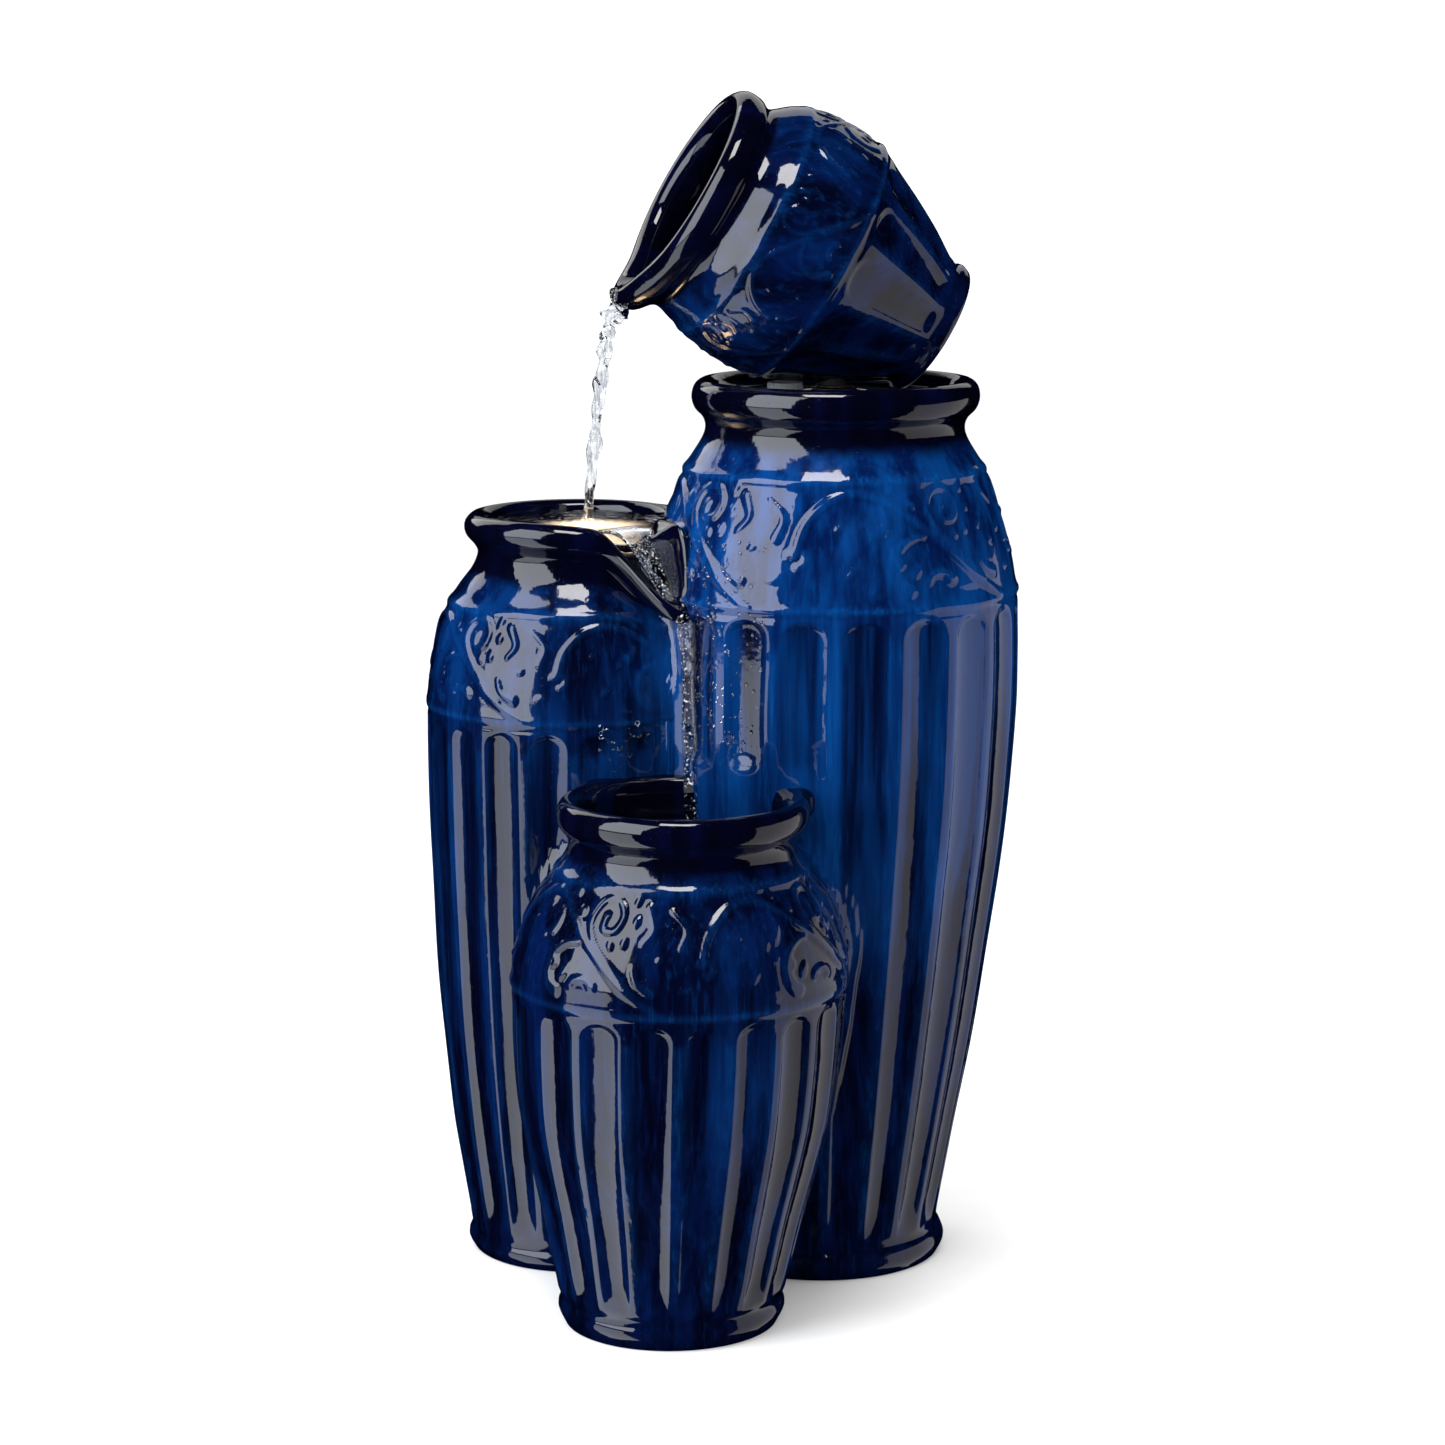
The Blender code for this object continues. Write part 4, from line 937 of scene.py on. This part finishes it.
def lip_flow():
    """A thin sheet of water from the pool down the lip's channel to its tip."""
    way = Vector((math.cos(math.radians(LIP_BEARING)), math.sin(math.radians(LIP_BEARING)), 0))
    start = Vector((MIDDLE_AXIS[0] + 0.050 * way.x, MIDDLE_AXIS[1] + 0.050 * way.y, POOL_Z + 0.0006))
    side = Vector((-way.y, way.x, 0))
    steps = 60
    run = np.linspace(0, 1, steps)
    reach = (Vector(LIP_TIP) - start).dot(way) + 0.002
    forward = reach * run
    fallen = (POOL_Z + 0.0006 - LIP_TIP[2] - 0.001) * smoothstep(0.10, 1.05, run) ** 1.15
    half = 0.0150 * (1 - run) ** 1.4 + 0.0040
    across = np.linspace(-1, 1, 17)
    spread = (half[:, None] * across[None, :])[..., None] * np.array(side)
    shape = forward[:, None, None] * np.array(way)[None, None, :] + spread
    z = start.z - fallen[:, None] + 0.0004 * (1 - across[None, :] ** 2)
    z = z + 0.00018 * np.sin(forward[:, None] * 260 + across[None, :] * 3)
    top = np.array([start.x, start.y, 0.0]) + shape
    top[..., 2] = z
    low = top.copy()
    low[..., 2] -= 0.0020
    rows = np.concatenate([top, low[:, ::-1]], axis=1)
    mesh = grid_mesh("water_lip_flow", rows, {}, poles=(True, True))
    return link("water_lip_flow", mesh)


def droplets():
    """Beads of splashed water on the walls beside the lower stream."""
    draws = np.random.default_rng(11)
    points, faces = [], []
    turn = np.linspace(0, 2 * math.pi, 7, endpoint=False)

    def bead(centre, out, size):
        out = Vector(out).normalized()
        side = out.cross(Vector((0, 0, 1))).normalized()
        up = side.cross(out)
        base = len(points)
        for reach, height in ((1.0, 0.0), (0.80, 0.45), (0.40, 0.72)):
            for a in turn:
                around = side * (size * reach * math.cos(a)) + up * (size * reach * 1.15 * math.sin(a))
                points.append(Vector(centre) + around + out * (size * height))
        points.append(Vector(centre) + out * (size * 0.8))
        points.append(Vector(centre) - out * (size * 0.2))
        for ring in range(2):
            for k in range(7):
                a, b = base + ring * 7 + k, base + ring * 7 + (k + 1) % 7
                faces.append((a, b, b + 7, a + 7))
        for k in range(7):
            faces.append((base + 14 + k, base + 14 + (k + 1) % 7, base + 21))
            faces.append((base + (k + 1) % 7, base + k, base + 22))

    for jar, style, low, high, spread, count in (
        (TALL_JAR, TALL_STYLE, 0.305, 0.500, (-152, -112), 620),
        (MIDDLE_JAR, MIDDLE_STYLE, 0.305, 0.380, (-80, -38), 340),
    ):
        for _ in range(count):
            z = low + (high - low) * draws.random() ** 1.5
            bearing = math.radians(draws.uniform(*spread))
            size = 0.00045 + 0.0015 * draws.random() ** 3
            cx, cy = jar.centre(z)
            step, _, _ = relief(np.array([bearing]), np.array([z]), style)
            r = float(jar.radius(z)) + float(step[0])
            at = (cx + r * math.cos(bearing), cy + r * math.sin(bearing), z)
            other = MIDDLE_JAR if jar is TALL_JAR else TALL_JAR
            gap = min(float(other.distance(*at)), float(FRONT_JAR.distance(*at)) + 0.02)
            if gap > 0.006:
                bead(at, (math.cos(bearing), math.sin(bearing), 0), size)
    mesh = bpy.data.meshes.new("water_droplets")
    mesh.from_pydata([tuple(p) for p in points], [], faces)
    turn_outwards(mesh)
    mesh.shade_smooth()
    return link("water_droplets", mesh)


# ---------------------------------------------------------------- assemble
glaze = glaze_material("cobalt_glaze")
jug_glaze = glaze_material("cobalt_glaze_jug", along=(1, 0, 0))
for piece, node, body, look in (
    (tall_jar(), "tall_jar", "root", glaze),
    (middle_jar(), "middle_jar", "root", glaze),
    (front_jar(), "front_jar", "root", glaze),
    (pouring_jug(), "pouring_jug", "jug", jug_glaze),
):
    piece.data.materials.append(look)
    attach(piece, body)
    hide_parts(node)

BLACK = moulded("black_moulded_plastic", (0.018, 0.018, 0.020), 0.42)
RUBBER = moulded("black_rubber", (0.022, 0.022, 0.022), 0.72, grain=420.0, depth=0.0002)
VINYL = clear_like("vinyl_hose", (0.78, 0.86, 0.84), 0.16, 0.75)
CLEAR = clear_like("clear_plastic", (0.90, 0.94, 0.96), 0.08, 0.90)
PAD = clear_like("soft_pad", (0.55, 0.58, 0.60), 0.35, 0.60)
CABLE = moulded("cable_jacket", (0.014, 0.014, 0.015), 0.50, grain=300.0)
LOOKS = {
    "jug_inlet_spigot": CLEAR, "jug_inlet_grommet": RUBBER, "dish_socket": BLACK, "dish_socket_nut": BLACK,
    "jug_rest_pad": PAD, "riser_hose": VINYL, "hose_clamp_lower": steel_material("clamp_steel"),
    "hose_clamp_upper": steel_material("clamp_steel_upper"), "hose_wall_grommet": RUBBER,
    "lead_wall_grommet": RUBBER, "light_wall_grommet": RUBBER, "pump_housing": BLACK,
    "impeller_chamber": BLACK, "outlet_nozzle": BLACK, "chamber_seal": RUBBER,
    "rotor_magnet": moulded("ferrite_magnet", (0.045, 0.045, 0.048), 0.55, grain=1200.0),
    "impeller": moulded("white_impeller", (0.55, 0.56, 0.56), 0.38),
    "impeller_shaft": ceramic_material("shaft_ceramic"), "rear_bush": RUBBER, "front_bush": RUBBER,
    "intake_cover": BLACK,
    "flow_knob": moulded("grey_knob", (0.10, 0.10, 0.11), 0.40), "light_housing": BLACK,
    "light_board": board_material("lamp_board"), "light_lens": lamp_material("lamp_lens"),
    "light_lead": CABLE,
    "pump_lead": CABLE, "lead_splitter": BLACK, "supply_lead": CABLE, "rear_cable_gland": BLACK,
    "suction_foot_1": RUBBER, "suction_foot_2": RUBBER, "suction_foot_3": RUBBER, "suction_foot_4": RUBBER,
}
for node, look in LOOKS.items():
    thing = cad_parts[node]
    thing = thing if isinstance(thing, bpy.types.Object) else bpy.data.objects[node]
    for slot in thing.material_slots:
        slot.material = look
    if not thing.material_slots:
        thing.data.materials.append(look)

still = water_material("water_still", 0.0, 60.0)
# The running stream carries painted dark reflection streaks.
running = water_material("water_running", 0.04, 110.0, (0.80, 0.83, 0.87), 0.20, strands=0.80)
pouring = water_material("water_pouring", 0.04, 100.0, (0.96, 0.98, 1.0), 0.13)
foaming = water_material("water_foaming", 0.06, 60.0, (0.70, 0.76, 0.86), 0.05)
stream = top_stream()
stream.data.materials.append(running)
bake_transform(stream)
for piece, look in (
    (pool(), pool_material("water_painted_lamp_glow")), (bowl_water(), still), (lower_stream(), pouring),
    (lip_flow(), foaming), (droplets(), still),
):
    piece.data.materials.append(look)
    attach(piece, "root")


# ---------------------------------------------------------------- studio
def pale_floor():
    reach, cells = 7.0, 4
    ticks = np.linspace(-reach, reach, cells + 1)
    verts = [(x, y, 0.0) for y in ticks for x in ticks]
    wide = cells + 1
    corners = [r * wide + c for r in range(cells) for c in range(cells)]
    faces = [(k, k + 1, k + 1 + wide, k + wide) for k in corners]
    mesh = bpy.data.meshes.new("studio_floor")
    mesh.from_pydata(verts, [], faces)
    n = Nodes("floor_paper")
    grain = n.noise(n.coordinates(), 40.0, 3.0)
    n.set(Base_Color=n.mix(grain, (0.84, 0.84, 0.84), (0.88, 0.88, 0.88)), Roughness=0.9)
    n.shader.inputs["Specular IOR Level"].default_value = 0.1
    mesh.materials.append(n.material)
    floor = link("studio_floor", mesh)
    floor.visible_glossy = False


def softbox(name, place, aim, width, height, radiance, colour):
    data = bpy.data.lights.new(name, "AREA")
    data.shape = "RECTANGLE"
    data.size, data.size_y = width, height
    data.energy = radiance * math.pi * width * height
    data.color = colour
    light = bpy.data.objects.new(name, data)
    light.location = place
    light.rotation_euler = (Vector(aim) - Vector(place)).to_track_quat("-Z", "Y").to_euler()
    light.visible_camera = False
    COLLECTION.objects.link(light)


pale_floor()
COOL = (0.90, 0.94, 1.0)
softbox("key_upper", (-1.14, -0.76, 1.25), (0.0, 0.0, 0.85), 1.20, 1.80, 5.2, COOL)
softbox("key_lower", (-1.20, -0.68, -0.60), (0.0, 0.0, -0.10), 0.95, 1.85, 2.7, COOL)
softbox("overhead", (-0.10, -0.50, 1.95), (0.0, -0.05, 0.40), 0.60, 0.45, 13.0, (1.0, 0.98, 0.98))
softbox("fill_right", (1.45, 0.15, -0.50), (0.0, 0.0, -0.50), 1.7, 2.2, 0.85, (1.0, 0.97, 0.98))
softbox("behind", (0.20, 2.40, 1.95), (0.0, 0.0, 0.60), 3.0, 1.3, 0.8, (1.0, 1.0, 1.0))
softbox("back_left", (-1.1, 1.25, 1.5), (0.0, 0.3, 0.4), 0.9, 1.2, 2.2, (1.0, 1.0, 1.0))

world = bpy.data.worlds.new("studio")
bpy.context.scene.world = world
world.use_nodes = True
world.node_tree.nodes["Background"].inputs["Color"].default_value = (1.0, 1.0, 1.0, 1.0)
world.node_tree.nodes["Background"].inputs["Strength"].default_value = 1.28
world.cycles_visibility.glossy = False
bpy.context.scene.view_settings.view_transform = "Standard"
bpy.context.scene.view_settings.look = "None"
